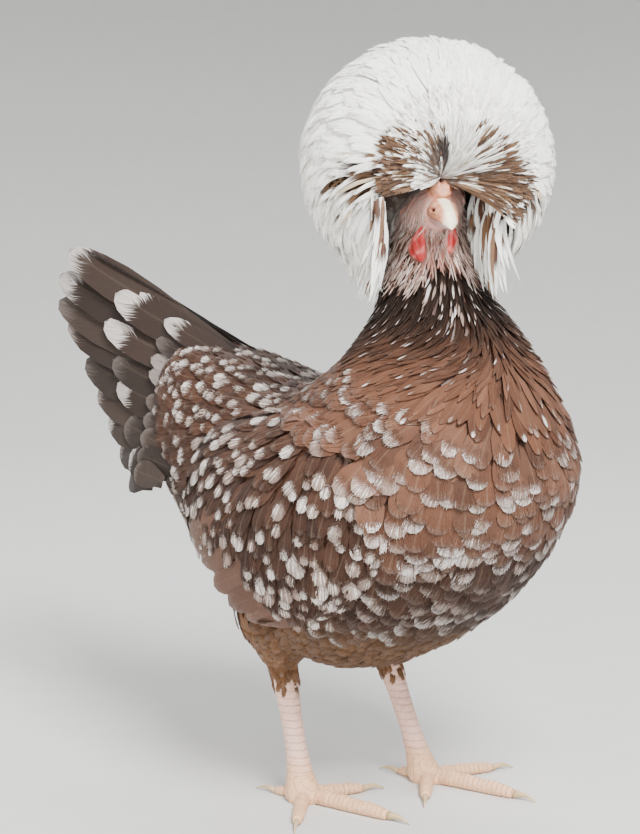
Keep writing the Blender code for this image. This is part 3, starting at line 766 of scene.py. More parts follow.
@dataclass
class Vanes:
    """The feathers of one piece as centre lines with widths and markings."""

    line: Rows
    up: Rows
    half: Rows
    ground: Rows
    tip: Rows
    tone: Rows
    chart: Rows
    along: Rows
    thick: float = 0.00022
    droop: float = 0.16
    web: Rows | None = None
    patch: float = 0.003
    ragged: float = 0.10

    def part(self, keep: Rows) -> "Vanes":
        """Gives the feathers that keep picks."""
        rows = (self.line, self.up, self.half, self.ground, self.tip, self.tone, self.chart)
        return Vanes(*(row[keep] for row in rows), self.along, self.thick, self.droop)

    def sides(self) -> Rows:
        """Gives the direction across each feather at each station."""
        return unit(np.cross(self.up, unit(np.gradient(self.line, axis=1))))

    def fringe(self, barbs: int, seed: int, beyond: float = 0.0011, thin: float = 0.00034) -> "Vanes":
        """Gives the loose barbs that fray the rim of each feather.

        Args:
            barbs: How many each feather has.
            seed: The start of the random row.
            beyond: How far the longest stand out past the rim.
            thin: Their half width.

        Returns:
            The barbs as small vanes that carry their feather's markings.
        """
        rng = np.random.default_rng(seed)
        count, stations = self.half.shape
        row = np.arange(count)
        side = self.sides()
        widest = self.half.max(1)
        length = np.linalg.norm(self.line[:, -1] - self.line[:, 0], axis=1)
        shares = (0.0, 0.6, 1.0)
        shape = np.array((0.7, 1.0, 0.35)) * thin
        parts: list[tuple[Rows, ...]] = []
        for barb in range(barbs):
            across = -0.86 + 1.72 * (barb + rng.random(count)) / barbs
            start = 0.66 - 0.10 * np.abs(across) + 0.08 * rng.random(count)
            end = 1.0 - 0.16 * np.abs(across) ** 2.4
            extra = beyond * (rng.random(count) - 0.25) / length
            spots, ups, web = [], [], []
            for share in shares:
                v = start + share * (end + extra - start)
                u = across * (0.62 + 0.38 * share)
                index = np.clip(np.searchsorted(self.along, v, side="right") - 1, 0, stations - 2)
                low, high = self.along[index], self.along[index + 1]
                blend = ((v - low) / (high - low))[:, None]
                spot = self.line[row, index] * (1 - blend) + self.line[row, index + 1] * blend
                spot = spot + side[row, index] * (u * widest)[:, None]
                drop = self.droop * widest * u * u
                ups.append(self.up[row, index])
                spots.append(spot + ups[-1] * (self.thick + 0.00008 - drop)[:, None])
                web.append(np.stack((0.5 + 0.5 * u, np.clip(v, 0.0, 1.0)), 1))
            half = np.tile(shape, (count, 1)) * (0.7 + 0.6 * rng.random((count, 1)))
            parts.append((np.stack(spots, 1), np.stack(ups, 1), half, np.stack(web, 1)))
        line, up, half, web = (np.concatenate([part[k] for part in parts]) for k in range(4))
        marks = (self.ground, self.tip, self.tone, self.chart)
        many = (np.tile(mark, (barbs,) + (1,) * (mark.ndim - 1)) for mark in marks)
        return Vanes(line, up, half, *many, np.array(shares), 0.00010, 0.0, web)

    @staticmethod
    def faces(count: int, stations: int) -> Rows:
        """Gives the faces of thin tubes of four columns, closed at both ends.

        Args:
            count: How many tubes.
            stations: The rings of each.

        Returns:
            A row of four corners for each face.
        """
        quads = [
            (low + column, low + 4 + column, low + 4 + (column + 1) % 4, low + (column + 1) % 4)
            for low in range(0, stations * 4 - 4, 4) for column in range(4)
        ]
        last = stations * 4 - 4
        quads += [(0, 1, 2, 3), (last + 3, last + 2, last + 1, last)]
        faces = np.array(quads, np.int64)[None] + (np.arange(count) * stations * 4)[:, None, None]
        return faces.reshape(-1, 4)

    def mesh(self, name: str, seed: int) -> bpy.types.Object:
        """Joins all feathers into one mesh object of thin closed vanes.

        Args:
            name: The object's name.
            seed: The start of the random row.

        Returns:
            The object with its maps and attributes.
        """
        rng = np.random.default_rng(seed)
        count, stations = self.half.shape
        side = self.sides()
        half = self.half[..., None] * (1.0 + self.ragged * (rng.random((count, stations, 2)) - 0.5))
        sunk = self.up * (self.half * self.droop)[..., None]
        rings = np.stack((
            self.line + side * half[..., :1] - sunk,
            self.line + self.up * self.thick,
            self.line - side * half[..., 1:] - sunk,
            self.line - self.up * self.thick * 0.5,
        ), 2)
        faces = self.faces(count, stations)
        mesh = bpy.data.meshes.new(name)
        mesh.vertices.add(count * stations * 4)
        mesh.vertices.foreach_set("co", rings.astype(np.float32).ravel())
        mesh.loops.add(faces.size)
        mesh.loops.foreach_set("vertex_index", faces.astype(np.int32).ravel())
        mesh.polygons.add(len(faces))
        mesh.polygons.foreach_set("loop_start", np.arange(0, faces.size, 4, dtype=np.int32))
        mesh.polygons.foreach_set("use_smooth", np.ones(len(faces), bool))
        mesh.update(calc_edges=True)
        self.crease_rims(mesh)
        vane = np.empty((count, stations, 4, 2))
        vane[..., 0] = (0.0, 0.5, 1.0, 0.5)
        vane[..., 1] = self.along[None, :, None]
        if self.web is not None:
            vane[...] = self.web[:, :, None, :]
        rooted = self.chart[:, None, None, :] + self.patch * (vane - 0.5)
        for label, data in (("OFBake", rooted), ("vane", vane)):
            layer = mesh.uv_layers.new(name=label)
            layer.data.foreach_set("uv", data.reshape(-1, 2)[faces.ravel()].astype(np.float32).ravel())
        marks = np.concatenate((self.tip[:, None], self.tone[:, None], rng.random((count, 1))), 1)
        for label, data in (("ground", self.ground), ("mark", marks)):
            paint(mesh, label, np.repeat(data, stations * 4, axis=0))
        obj = bpy.data.objects.new(name, mesh)
        bpy.context.scene.collection.objects.link(obj)
        return obj

    @staticmethod
    def crease_rims(mesh: bpy.types.Mesh) -> None:
        """Marks the edges that run along both rims of each vane as sharp."""
        ends = np.empty(len(mesh.edges) * 2, np.int32)
        mesh.edges.foreach_get("vertices", ends)
        column = ends.reshape(-1, 2) % 4
        sharp = (column[:, 0] == column[:, 1]) & (column[:, 0] % 2 == 0)
        mesh.attributes.new("sharp_edge", "BOOLEAN", "EDGE").data.foreach_set("value", sharp)


@dataclass
class Skin:
    """The one skin under the coat, with bare face, comb, wattles, legs and feet."""

    voxel: float = 0.00105
    depth: float = 0.0042
    keep: float = 0.38
    overlap: float = 0.003
    plate_up: float = 0.0040
    plate_out: float = 0.0030
    plate_rise: float = 0.00040
    eye: Triple = (0.003, 0.0175, 0.003)
    knob: Triple = (0.0175, 0.0, 0.0100)
    dark_spots: tuple[tuple[float, float, float, float], ...] = (
        (0.0150, -0.0110, -0.0085, 0.0010), (0.0150, -0.0052, 0.0105, 0.0016),
    )
    tree: BVHTree | None = None
    points: Rows = field(default_factory=lambda: np.zeros((0, 3)))
    faces: Rows = field(default_factory=lambda: np.zeros((0, 4), int))

    def cast(self) -> bpy.types.Object:
        """Casts all flesh nodes into one closed mesh and keeps its outer form for the coat.

        Returns:
            The skin's object.
        """
        obj = joined_copy("skin", FLESH)
        points, normals = points_of(obj), normals_of(obj)
        side = np.sign(points[:, 0])
        apart = distances(tree_of(both("wing")), points, 0.0005)
        inner = (apart < 0.0002) & (normals[:, 0] * side < -0.2)
        points[:, 0] -= np.where(inner, side * self.overlap, 0.0)
        move_to(obj, points)
        recast(obj, self.voxel, 4)
        self.points = points_of(obj)
        loops = np.empty(len(obj.data.polygons) * 4, np.int32)
        obj.data.polygons.foreach_get("vertices", loops)
        self.faces = loops.reshape(-1, 4)
        self.tree = BVHTree.FromPolygons(self.points.tolist(), self.faces.tolist())
        return obj

    def colour(self, points: Rows) -> tuple[Rows, Rows]:
        """Gives each skin point its colour, and how scaly and wrinkled it is.

        Args:
            points: The skin's vertices.

        Returns:
            The colours, and the relief shares.
        """
        relief = np.zeros((len(points), 3))
        legs = 1.0 - smooth(0.064, 0.070, points[:, 2])
        ground = tinted(rows_of(BROWN, len(points)), LEG_PINK, legs)
        ground = tinted(ground, FOOT_BUFF, smooth(0.030, 0.012, points[:, 2]))
        relief[:, 0] = legs
        relief[:, 2] = self.plates(points)
        near = np.linalg.norm(points - PLAN.on_head(0.0, 0.0, -0.004), axis=1) < 0.06
        spots = points[near]
        parts = PLAN.head_parts(spots)
        face = rows_of(FACE_PINK, len(spots))
        face = tinted(face, FACE_GREY, 0.75 * smooth(0.012, -0.010, parts[:, 0]))
        low = smooth(-0.016, -0.028, parts[:, 2])
        face = tinted(face, BROWN, low)
        for nodes, colour, reach in (
            (("comb",), KNOB_PINK, 0.0020),
            (both("wattle"), WATTLE_RED, 0.0012),
            (both("earlobe"), LOBE_WHITE, 0.0012),
        ):
            share = 1.0 - smooth(0.0, reach, distances(tree_of(nodes), spots, reach))
            face = tinted(face, colour, share)
            if colour == WATTLE_RED:
                wave = np.sin(parts[:, 0] * 900.0 + 6.0 * np.sin(parts[:, 2] * 130.0))
                face = tinted(face, WATTLE_PINK, 0.8 * share * smooth(0.45, 0.95, wave))
        for *spot, size in self.dark_spots:
            apart = np.linalg.norm(parts - np.array(spot), axis=1)
            face = tinted(face, SPOT_DARK, 0.8 * smooth(1.4 * size, 0.7 * size, apart))
        ground[near] = face
        relief[near, 1] = 1.0 - low
        return ground, relief

    def plates(self, points: Rows) -> Rows:
        """Counts the horny plates up the shanks and out along the toes."""
        reach = np.full(len(points), 1.0)
        for node in both("shank"):
            low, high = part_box(node)
            middle = (low[0] + high[0]) / 2.0
            reach = np.minimum(reach, np.hypot(points[:, 0] - middle, points[:, 1] - low[1] - 0.008))
        toe = 1.0 - smooth(0.012, 0.017, points[:, 2])
        up = points[:, 2] / self.plate_up
        return up + toe * (reach / self.plate_out - up)

    def scutes(self, points: Rows, normals: Rows) -> Rows:
        """Raises the rows of horny plates on the front of shanks and the top of toes."""
        z = points[:, 2]
        legs = 1.0 - smooth(0.064, 0.072, z)
        shank = smooth(0.012, 0.018, z)
        front = smooth(-0.2, 0.5, -normals[:, 1])
        top = smooth(0.1, 0.6, normals[:, 2])
        wave = (np.abs(np.sin(math.pi * self.plates(points))) ** 0.5) - 0.5
        share = shank * (0.35 + 0.65 * front) + (1.0 - shank) * top * 0.7
        return points + normals * (legs * share * self.plate_rise * wave)[:, None]

    def face_folds(self, points: Rows, normals: Rows) -> Rows:
        """Raises the lids round each eye, and the folds of cheek, comb and wattles."""
        parts = PLAN.head_parts(points)
        ahead, left, up = parts.T
        near = np.linalg.norm(parts, axis=1) < 0.05
        rise = np.zeros(len(points))
        for side in (1.0, -1.0):
            off = parts - np.array(self.eye) * (1.0, side, 1.0)
            around = np.hypot(off[:, 0], off[:, 2] * 1.25)
            beside = near & (off[:, 1] * side > -0.006)
            lids = 0.0010 * bell(around - 0.0046, 0.0011) - 0.0004 * bell(around - 0.0072, 0.0011)
            rise += np.where(beside, lids, 0.0)
        folds = np.sin(ahead * 1500.0 + 1.8 * np.sin(up * 600.0)) * np.sin(up * 1100.0 + left * 500.0)
        rise += np.where(near, 0.00018 * folds, 0.0)
        hung = near & (up < -0.011) & (np.abs(np.abs(left) - 0.008) < 0.006) & (ahead > 0.006)
        pleat = np.sin(ahead * 1300.0 + 3.0 * np.sin(up * 260.0))
        rise += np.where(hung, 0.00030 * pleat, 0.0)
        off = parts - np.array(self.knob)
        knob = smooth(0.0085, 0.0060, np.linalg.norm(off, axis=1)) * smooth(-0.004, 0.000, off[:, 2])
        rise += knob * (0.0005 * folds - 0.0014 * bell(left, 0.0012))
        return points + normals * rise[:, None]

    def build(self) -> None:
        """Builds the skin and dresses it."""
        obj = self.cast()
        points, normals = self.points, normals_of(obj)
        bare = distances(tree_of(BARE), points, 0.010)
        points = points - normals * (self.depth * smooth(0.0015, 0.0075, bare))[:, None]
        points = self.scutes(points, normals)
        move_to(obj, self.face_folds(points, normals))
        group = obj.vertex_groups.new(name="coarse")
        tenths = np.round(smooth(0.001, 0.004, bare) * 10.0)
        for level in range(11):
            group.add(np.nonzero(tenths == level)[0].tolist(), level / 10.0, "REPLACE")
        apply_modifier(obj, "DECIMATE", ratio=self.keep, vertex_group="coarse", vertex_group_factor=1.0)
        obj.vertex_groups.clear()
        for label, rows in zip(("ground", "relief"), self.colour(points_of(obj))):
            paint(obj.data, label, rows)
        shade_smooth(obj)
        finish_piece(obj, SkinFinish().make(), FLESH)


@dataclass
class Lie:
    """How feathers lie along the skin."""

    tree: BVHTree

    def rest(self, points: Rows) -> tuple[Rows, Rows]:
        """Gives the nearest surface point and normal for each point."""
        spots = np.empty_like(points)
        normals = np.empty_like(points)
        for index, point in enumerate(points):
            spots[index], normals[index], _, _ = self.tree.find_nearest(point)
        return spots, normals

    def trace(
        self,
        roots: Rows,
        length: Rows,
        along: Rows,
        heading: Callable[[Rows, Rows], Rows],
        stiff: float,
        turn: Rows,
    ) -> tuple[Rows, Rows]:
        """Follows the surface from each root for a feather's length.

        Args:
            roots: Where the feathers grow.
            length: Each feather's length.
            along: The stations from 0 to 1.
            heading: Gives the directions along the surface from places and normals.
            stiff: How much of its last normal a feather keeps from station to station.
            turn: How far each feather turns from the lie, in radians.

        Returns:
            The places and normals at each station.
        """
        spot, normal = self.rest(roots)
        line, ups = [spot], [normal]
        for low, high in zip(along[:-1], along[1:]):
            way = turned(heading(spot, normal), normal, turn)
            spot, fresh = self.rest(spot + way * (length * (high - low))[:, None])
            normal = unit(stiff * normal + (1.0 - stiff) * fresh)
            line.append(spot)
            ups.append(normal)
        return np.stack(line, 1), np.stack(ups, 1)


def steady(way: Rows) -> Callable[[Rows, Rows], Rows]:
    """Gives a lie that keeps one direction, laid flat on the surface."""
    return lambda _, normals: flat_to(way, normals)


def thinned(spots: Rows, gaps: Rows) -> Rows:
    """Keeps the spots in turn that have no kept spot nearer than their gap.

    Args:
        spots: The places.
        gaps: The gap of each, 0 where none is kept.

    Returns:
        The kept places.
    """
    keys = np.floor(spots / float(gaps.max())).astype(int)
    around = [(a, b, c) for a in (-1, 0, 1) for b in (-1, 0, 1) for c in (-1, 0, 1)]
    cells: dict[tuple[int, ...], list[int]] = {}
    kept: list[int] = []
    for index in np.nonzero(gaps > 0.0)[0]:
        key = keys[index]
        near = [
            other
            for a, b, c in around
            for other in cells.get((key[0] + a, key[1] + b, key[2] + c), ())
        ]
        if near and (((spots[near] - spots[index]) ** 2).sum(1) < gaps[index] ** 2).any():
            continue
        cells.setdefault(tuple(key), []).append(index)
        kept.append(index)
    return spots[kept]


def scatter(
    points: Rows, faces: Rows, spacing: Callable[[Rows], Rows], seed: int, finest: float
) -> Rows:
    """Spreads points over a surface so that none lies nearer than its spacing.

    Args:
        points: The surface's vertices.
        faces: Its faces of four corners.
        spacing: Gives the spacing at places, 0 where there is none.
        seed: The start of the random row.
        finest: The smallest spacing.

    Returns:
        The places.
    """
    rng = np.random.default_rng(seed)
    corners = points[faces]
    crossed = np.cross(corners[:, 2] - corners[:, 0], corners[:, 3] - corners[:, 1])
    area = np.linalg.norm(crossed, axis=1) / 2.0
    gaps = spacing(corners.mean(1))
    weight = np.where(gaps > 0.0, area / np.maximum(gaps, finest) ** 2, 0.0)
    total = int(weight.sum() * 5.0)
    quad = corners[rng.choice(len(faces), total, p=weight / weight.sum())]
    u, v = rng.random((2, total, 1))
    near, far = quad[:, 0] * (1 - u) + quad[:, 1] * u, quad[:, 3] * (1 - u) + quad[:, 2] * u
    spots = near * (1 - v) + far * v
    return thinned(spots, spacing(spots))


@dataclass(frozen=True)
class FeatherSize:
    """The root spacing, the length and the half width of one zone's feathers."""

    gap: float
    length: float
    half: float


@dataclass
class Coat:
    """All body feathers: hackle, breast, saddle, wing coverts and thigh fluff."""

    skin: Skin
    seed: int = 11
    along: tuple[float, ...] = (0.0, 0.28, 0.55, 0.76, 0.89, 0.965, 1.0)
    breast: FeatherSize = FeatherSize(0.0063, 0.0265, 0.0070)
    neck: FeatherSize = FeatherSize(0.0031, 0.0235, 0.0019)
    nape_less: FeatherSize = FeatherSize(0.0007, 0.0060, 0.0007)
    back: FeatherSize = FeatherSize(0.0057, 0.0220, 0.0047)
    thigh: FeatherSize = FeatherSize(0.0046, 0.0175, 0.0034)
    hock: FeatherSize = FeatherSize(0.0026, 0.0130, 0.0018)
    covert_length: float = 0.0240
    covert_half: float = 0.0048
    sunk: float = 0.0034
    bare_below: float = 0.0685
    crest_above: float = 0.318
    flight_reach: float = 0.016
    fan_spot: Triple = (-0.030, -0.055, 0.224)
    face_way: Pair = (0.682, -0.731)

    def sort(self, points: Rows) -> Rows:
        """Gives each place its part of the coat, by the nearest node of flesh."""
        best = np.full(len(points), 0.02)
        patch = np.full(len(points), Patch.BREAST.value)
        for kind, nodes in (
            (Patch.HACKLE, ("neck",)), (Patch.BREAST, ("trunk",)),
            (Patch.COVERTS, both("wing")), (Patch.THIGH, both("thigh")),
        ):
            apart = distances(tree_of(nodes), points, 0.02)
            patch = np.where(apart < best, kind.value, patch)
            best = np.minimum(best, apart)
        _, y, z = PLAN.own(points)
        high = (patch == Patch.BREAST.value) & (y + 0.9 * (z - 0.20) > 0.030)
        return np.where(high, Patch.SADDLE.value, patch)

    @staticmethod
    def zones(points: Rows) -> tuple[Rows, Rows, Rows]:
        """Gives how far places lie on the front of the neck, on the back and on the nape."""
        _, y, z = PLAN.own(points)
        neck = smooth(0.212, 0.262, z) * smooth(0.03, 0.0, y)
        back = (1.0 - neck) * smooth(0.0, 0.05, y + 0.9 * (z - 0.20))
        return neck, back, smooth(0.258, 0.285, z)

    def gap(self, points: Rows) -> Rows:
        """Gives the spacing of feather roots at each place, 0 on the bare parts."""
        z = PLAN.own(points)[2]
        neck, back, nape = self.zones(points)
        gap = self.breast.gap + neck * (self.neck.gap - self.breast.gap) - nape * self.nape_less.gap
        gap = gap + back * (self.back.gap - gap)
        gap = gap + smooth(0.125, 0.105, z) * (self.thigh.gap - gap)
        gap = gap + smooth(0.082, 0.074, z) * (self.hock.gap - gap)
        parts = PLAN.head_parts(points)
        face = (np.linalg.norm(parts, axis=1) < 0.034) & (parts[:, 2] > -0.026)
        return np.where((z < self.bare_below) | face | (z > self.crest_above), 0.0, gap)

    def sizes(self, roots: Rows, patch: Rows) -> tuple[Rows, Rows]:
        """Gives the length and half width of the feathers by where they grow.

        Args:
            roots: Where the feathers grow.
            patch: Their parts of the coat.

        Returns:
            The lengths and the half widths.
        """
        z = PLAN.own(roots)[2]
        neck, back, nape = self.zones(roots)
        thigh, hock = smooth(0.125, 0.100, z), smooth(0.084, 0.072, z)
        both_sizes = []
        for name, covert in (("length", self.covert_length), ("half", self.covert_half)):
            own, at_neck, at_back, less, at_thigh, at_hock = (
                getattr(kind, name)
                for kind in (self.breast, self.neck, self.back, self.nape_less, self.thigh, self.hock)
            )
            size = own + neck * (at_neck - own) + back * (at_back - own) - less * nape
            size += thigh * (at_thigh - size)
            size += hock * (at_hock - size)
            both_sizes.append(np.where(patch == Patch.COVERTS.value, covert, size))
        return both_sizes[0], both_sizes[1]

    @staticmethod
    def heading(points: Rows, normals: Rows, patch: Rows) -> Rows:
        """Gives the direction in which the feathers point at each place.

        Args:
            points: The places.
            normals: The skin's normals there.
            patch: Each feather's part of the coat.

        Returns:
            The directions, laid along the skin.
        """
        _, y, z = PLAN.own(points)
        share = smooth(-0.055, 0.055, y)
        share = np.maximum(share, smooth(0.15, 0.65, normals[:, 2]))
        share = np.maximum(share, smooth(-0.35, -0.80, normals[:, 2]))
        hackle = patch == Patch.HACKLE.value
        share = np.where(hackle, share * 0.6 * smooth(0.285, 0.25, z), share)
        front, rear = np.array((0.0, 0.30, -1.0)), np.array((0.0, 1.0, -0.20))
        way = front + share[:, None] * (rear - front)
        way[:, 2] += 0.75 * smooth(0.085, 0.130, y) * smooth(0.19, 0.22, z)
        rear_wing = smooth(0.160, 0.205, z) * smooth(-0.045, 0.0, y)
        wing = np.stack((np.zeros_like(y), 0.16 + 0.74 * rear_wing, -1.0 + 0.35 * rear_wing), 1)
        way = np.where((patch == Patch.COVERTS.value)[:, None], wing, way)
        way = dyed(way, (0.0, 0.25, -1.0), patch == Patch.THIGH.value)
        return flat_to(way, normals)

    def past_coverts(self, points: Rows) -> Rows:
        """Says which places of the wing lie where the plain flight feathers show."""
        _, y, z = PLAN.own(points)
        edge = np.array(Flight.edge)
        return (y > np.interp(z, edge[:, 1], edge[:, 0]) - self.flight_reach) & (z < 0.160)

    def markings(self, roots: Rows, patch: Rows, rng: np.random.Generator) -> tuple[Rows, Rows]:
        """Gives each feather its ground colour, with painted shade and a painted highlight in it, and the
        share of its tip that is white.

        Args:
            roots: Where the feathers grow.
            patch: Their parts of the coat.
            rng: The random row.

        Returns:
            The colours and the shares.
        """
        x, y, z = PLAN.own(roots)
        count = len(roots)
        luck = rng.random(count)
        size = rng.random(count)
        ground = tinted(rows_of(BROWN, count), WARM_BROWN, 0.6 * smooth(0.3, 1.0, rng.random(count)))
        ground = tinted(ground, DARK_BROWN, 0.5 * smooth(0.55, 1.0, rng.random(count)))
        # upper marks the upper breast: its white tips are fewer but larger, and its ground is lightened as a
        # painted highlight.
        upper = smooth(0.172, 0.205, z) * (y < 0.02)
        # Painted shade: belly marks the low breast, whose ground is darkened; it also gets fewer white tips.
        belly = smooth(0.185, 0.155, z) * (patch == Patch.BREAST.value)
        band = bell(z - 0.170, 0.014) * smooth(0.02, -0.02, y) * smooth(0.026, 0.006, x)
        chance = 0.60 - 0.10 * upper - 0.20 * belly + 0.10 * band
        extent = 0.02 + 0.14 * size ** 1.4 + 0.02 * upper + 0.12 * band * size
        # Painted shade darkens the low breast, and a painted highlight lightens the upper breast.
        ground = ground * (1.0 - 0.42 * belly)[:, None] * (1.0 + 0.26 * upper)[:, None]
        fan = np.linalg.norm(roots - PLAN.at(*self.fan_spot), axis=1) < 0.0065
        extent = np.where(fan, 0.52, extent)
        chance = np.where(fan, 1.0, chance)
        for kind, dark, likely, least, most in (
            (Patch.COVERTS, 0.50, 0.68, 0.09, 0.28), (Patch.SADDLE, 0.66, 0.66, 0.07, 0.24),
        ):
            own = patch == kind.value
            ground = np.where(own[:, None], ground * dark, ground)
            chance = np.where(own, likely, chance)
            extent = np.where(own, least + most * size ** 1.3, extent)
        neck = smooth(0.222, 0.245, z) * (y < 0.02)
        beside = self.face_way[0] * x + self.face_way[1] * y - 0.0365
        collar = bell(z - 0.301, 0.006) * bell(beside, 0.010)
        collar = np.maximum(collar, bell(z - 0.287, 0.005) * bell(beside - 0.009, 0.005)) * (y < -0.04)
        chance += neck * (0.22 + 0.78 * collar - chance)
        extent += neck * (0.06 + 0.12 * size + 0.34 * collar - extent)
        # Painted shade: the ground on the front of the neck, under the crest, is darkened.
        ground = ground * (1.0 - 0.90 * smooth(0.242, 0.288, z) * smooth(0.02, -0.01, y))[:, None]
        cape = (patch == Patch.HACKLE.value) & (y > -0.03) & (z < 0.25)
        chance = np.where(cape, 0.72, chance)
        extent = np.where(cape, 0.20 + 0.30 * size, extent)
        low = smooth(0.130, 0.098, z)
        ground = tinted(ground, THIGH_TAN, 0.62 * low)
        chance = np.where((patch == Patch.THIGH.value) & (z < 0.115), 0.12, chance - 0.40 * low)
        return ground, np.where(luck < chance, extent, UNMARKED)

    def build(self) -> None:
        """Grows the feathers and makes one piece for each part of the coat."""
        along = np.array(self.along)
        roots = scatter(self.skin.points, self.skin.faces, self.gap, self.seed, 0.0025)
        patch = self.sort(roots)
        shown = (patch != Patch.COVERTS.value) | ~self.past_coverts(roots)
        roots, patch = roots[shown], patch[shown]
        rng = np.random.default_rng(self.seed + 1)
        count = len(roots)
        x, _, z = PLAN.own(roots)
        size = 0.88 + 0.26 * rng.random(count)
        length, half = (own * size for own in self.sizes(roots, patch))
        turn = np.radians(rng.normal(0.0, 7.0, count))
        way = partial(self.heading, patch=patch)
        line, ups = Lie(self.skin.tree).trace(roots, length, along, way, 0.55, turn)
        lift = 0.0002 + 0.0005 * rng.random(count)
        depth = self.sunk - 0.0026 * smooth(0.092, 0.080, z)
        height = -depth[:, None] + (depth + lift)[:, None] * along[None, :] ** 0.75
        round_tip = outline(along, 0.35, 0.62, 2.2)
        narrow_tip = outline(along, 0.40, 0.45, 1.35)
        shape = round_tip[None] + self.zones(roots)[0][:, None] * (narrow_tip - round_tip)[None]
        ground, tip = self.markings(roots, patch, rng)
        # Painted shade: the low breast's feathers are also dimmed through their tone.
        tone = 1.0 - 0.26 * smooth(0.185, 0.155, z) * (patch == Patch.BREAST.value)
        tone = tone * (0.84 + 0.32 * rng.random(count))
        vanes = Vanes(
            line + ups * height[..., None], ups, half[:, None] * shape, ground, tip, tone,
            PLAN.chart(roots), along, droop=0.07,
        )
        body = VaneFinish("body_vane").make()
        covert = VaneFinish(
            "covert_vane", rim_hook=-0.20, fade=0.20, fray=0.50, tip_colour=(0.68, 0.62, 0.57)
        ).make()
        hackle = VaneFinish(
            "hackle_vane", rough=0.7, sheen=0.03, shine=0.09, rim_hook=-0.22, fade=0.16, contrast=0.7
        ).make()
        fluff = VaneFinish("fluff_vane", rough=0.8, contrast=0.6, tip_colour=(0.42, 0.33, 0.26)).make()
        for kind, name, slot, material, barbs in (
            (Patch.HACKLE, "hackle", "body_feathers", hackle, 0),
            (Patch.BREAST, "breast", "body_feathers", body, 8),
            (Patch.SADDLE, "saddle", "body_feathers", covert, 5),
            (Patch.COVERTS, "wing_coverts", "wing_feathers", covert, 5),
            (Patch.THIGH, "thigh_fluff", "thigh_feathers", fluff, 8),
        ):
            seed = self.seed + 10 * kind.value
            for side, here in (("left", x >= 0.0), ("right", x < 0.0)):
                own = vanes.part((patch == kind.value) & here)
                finish_piece(own.mesh(f"{name}_{side}", seed + 2), material)
                if barbs:
                    loose = own.fringe(barbs, seed + 3)
                    finish_piece(loose.mesh(f"{name}_barbs_{side}", seed + 4), material)


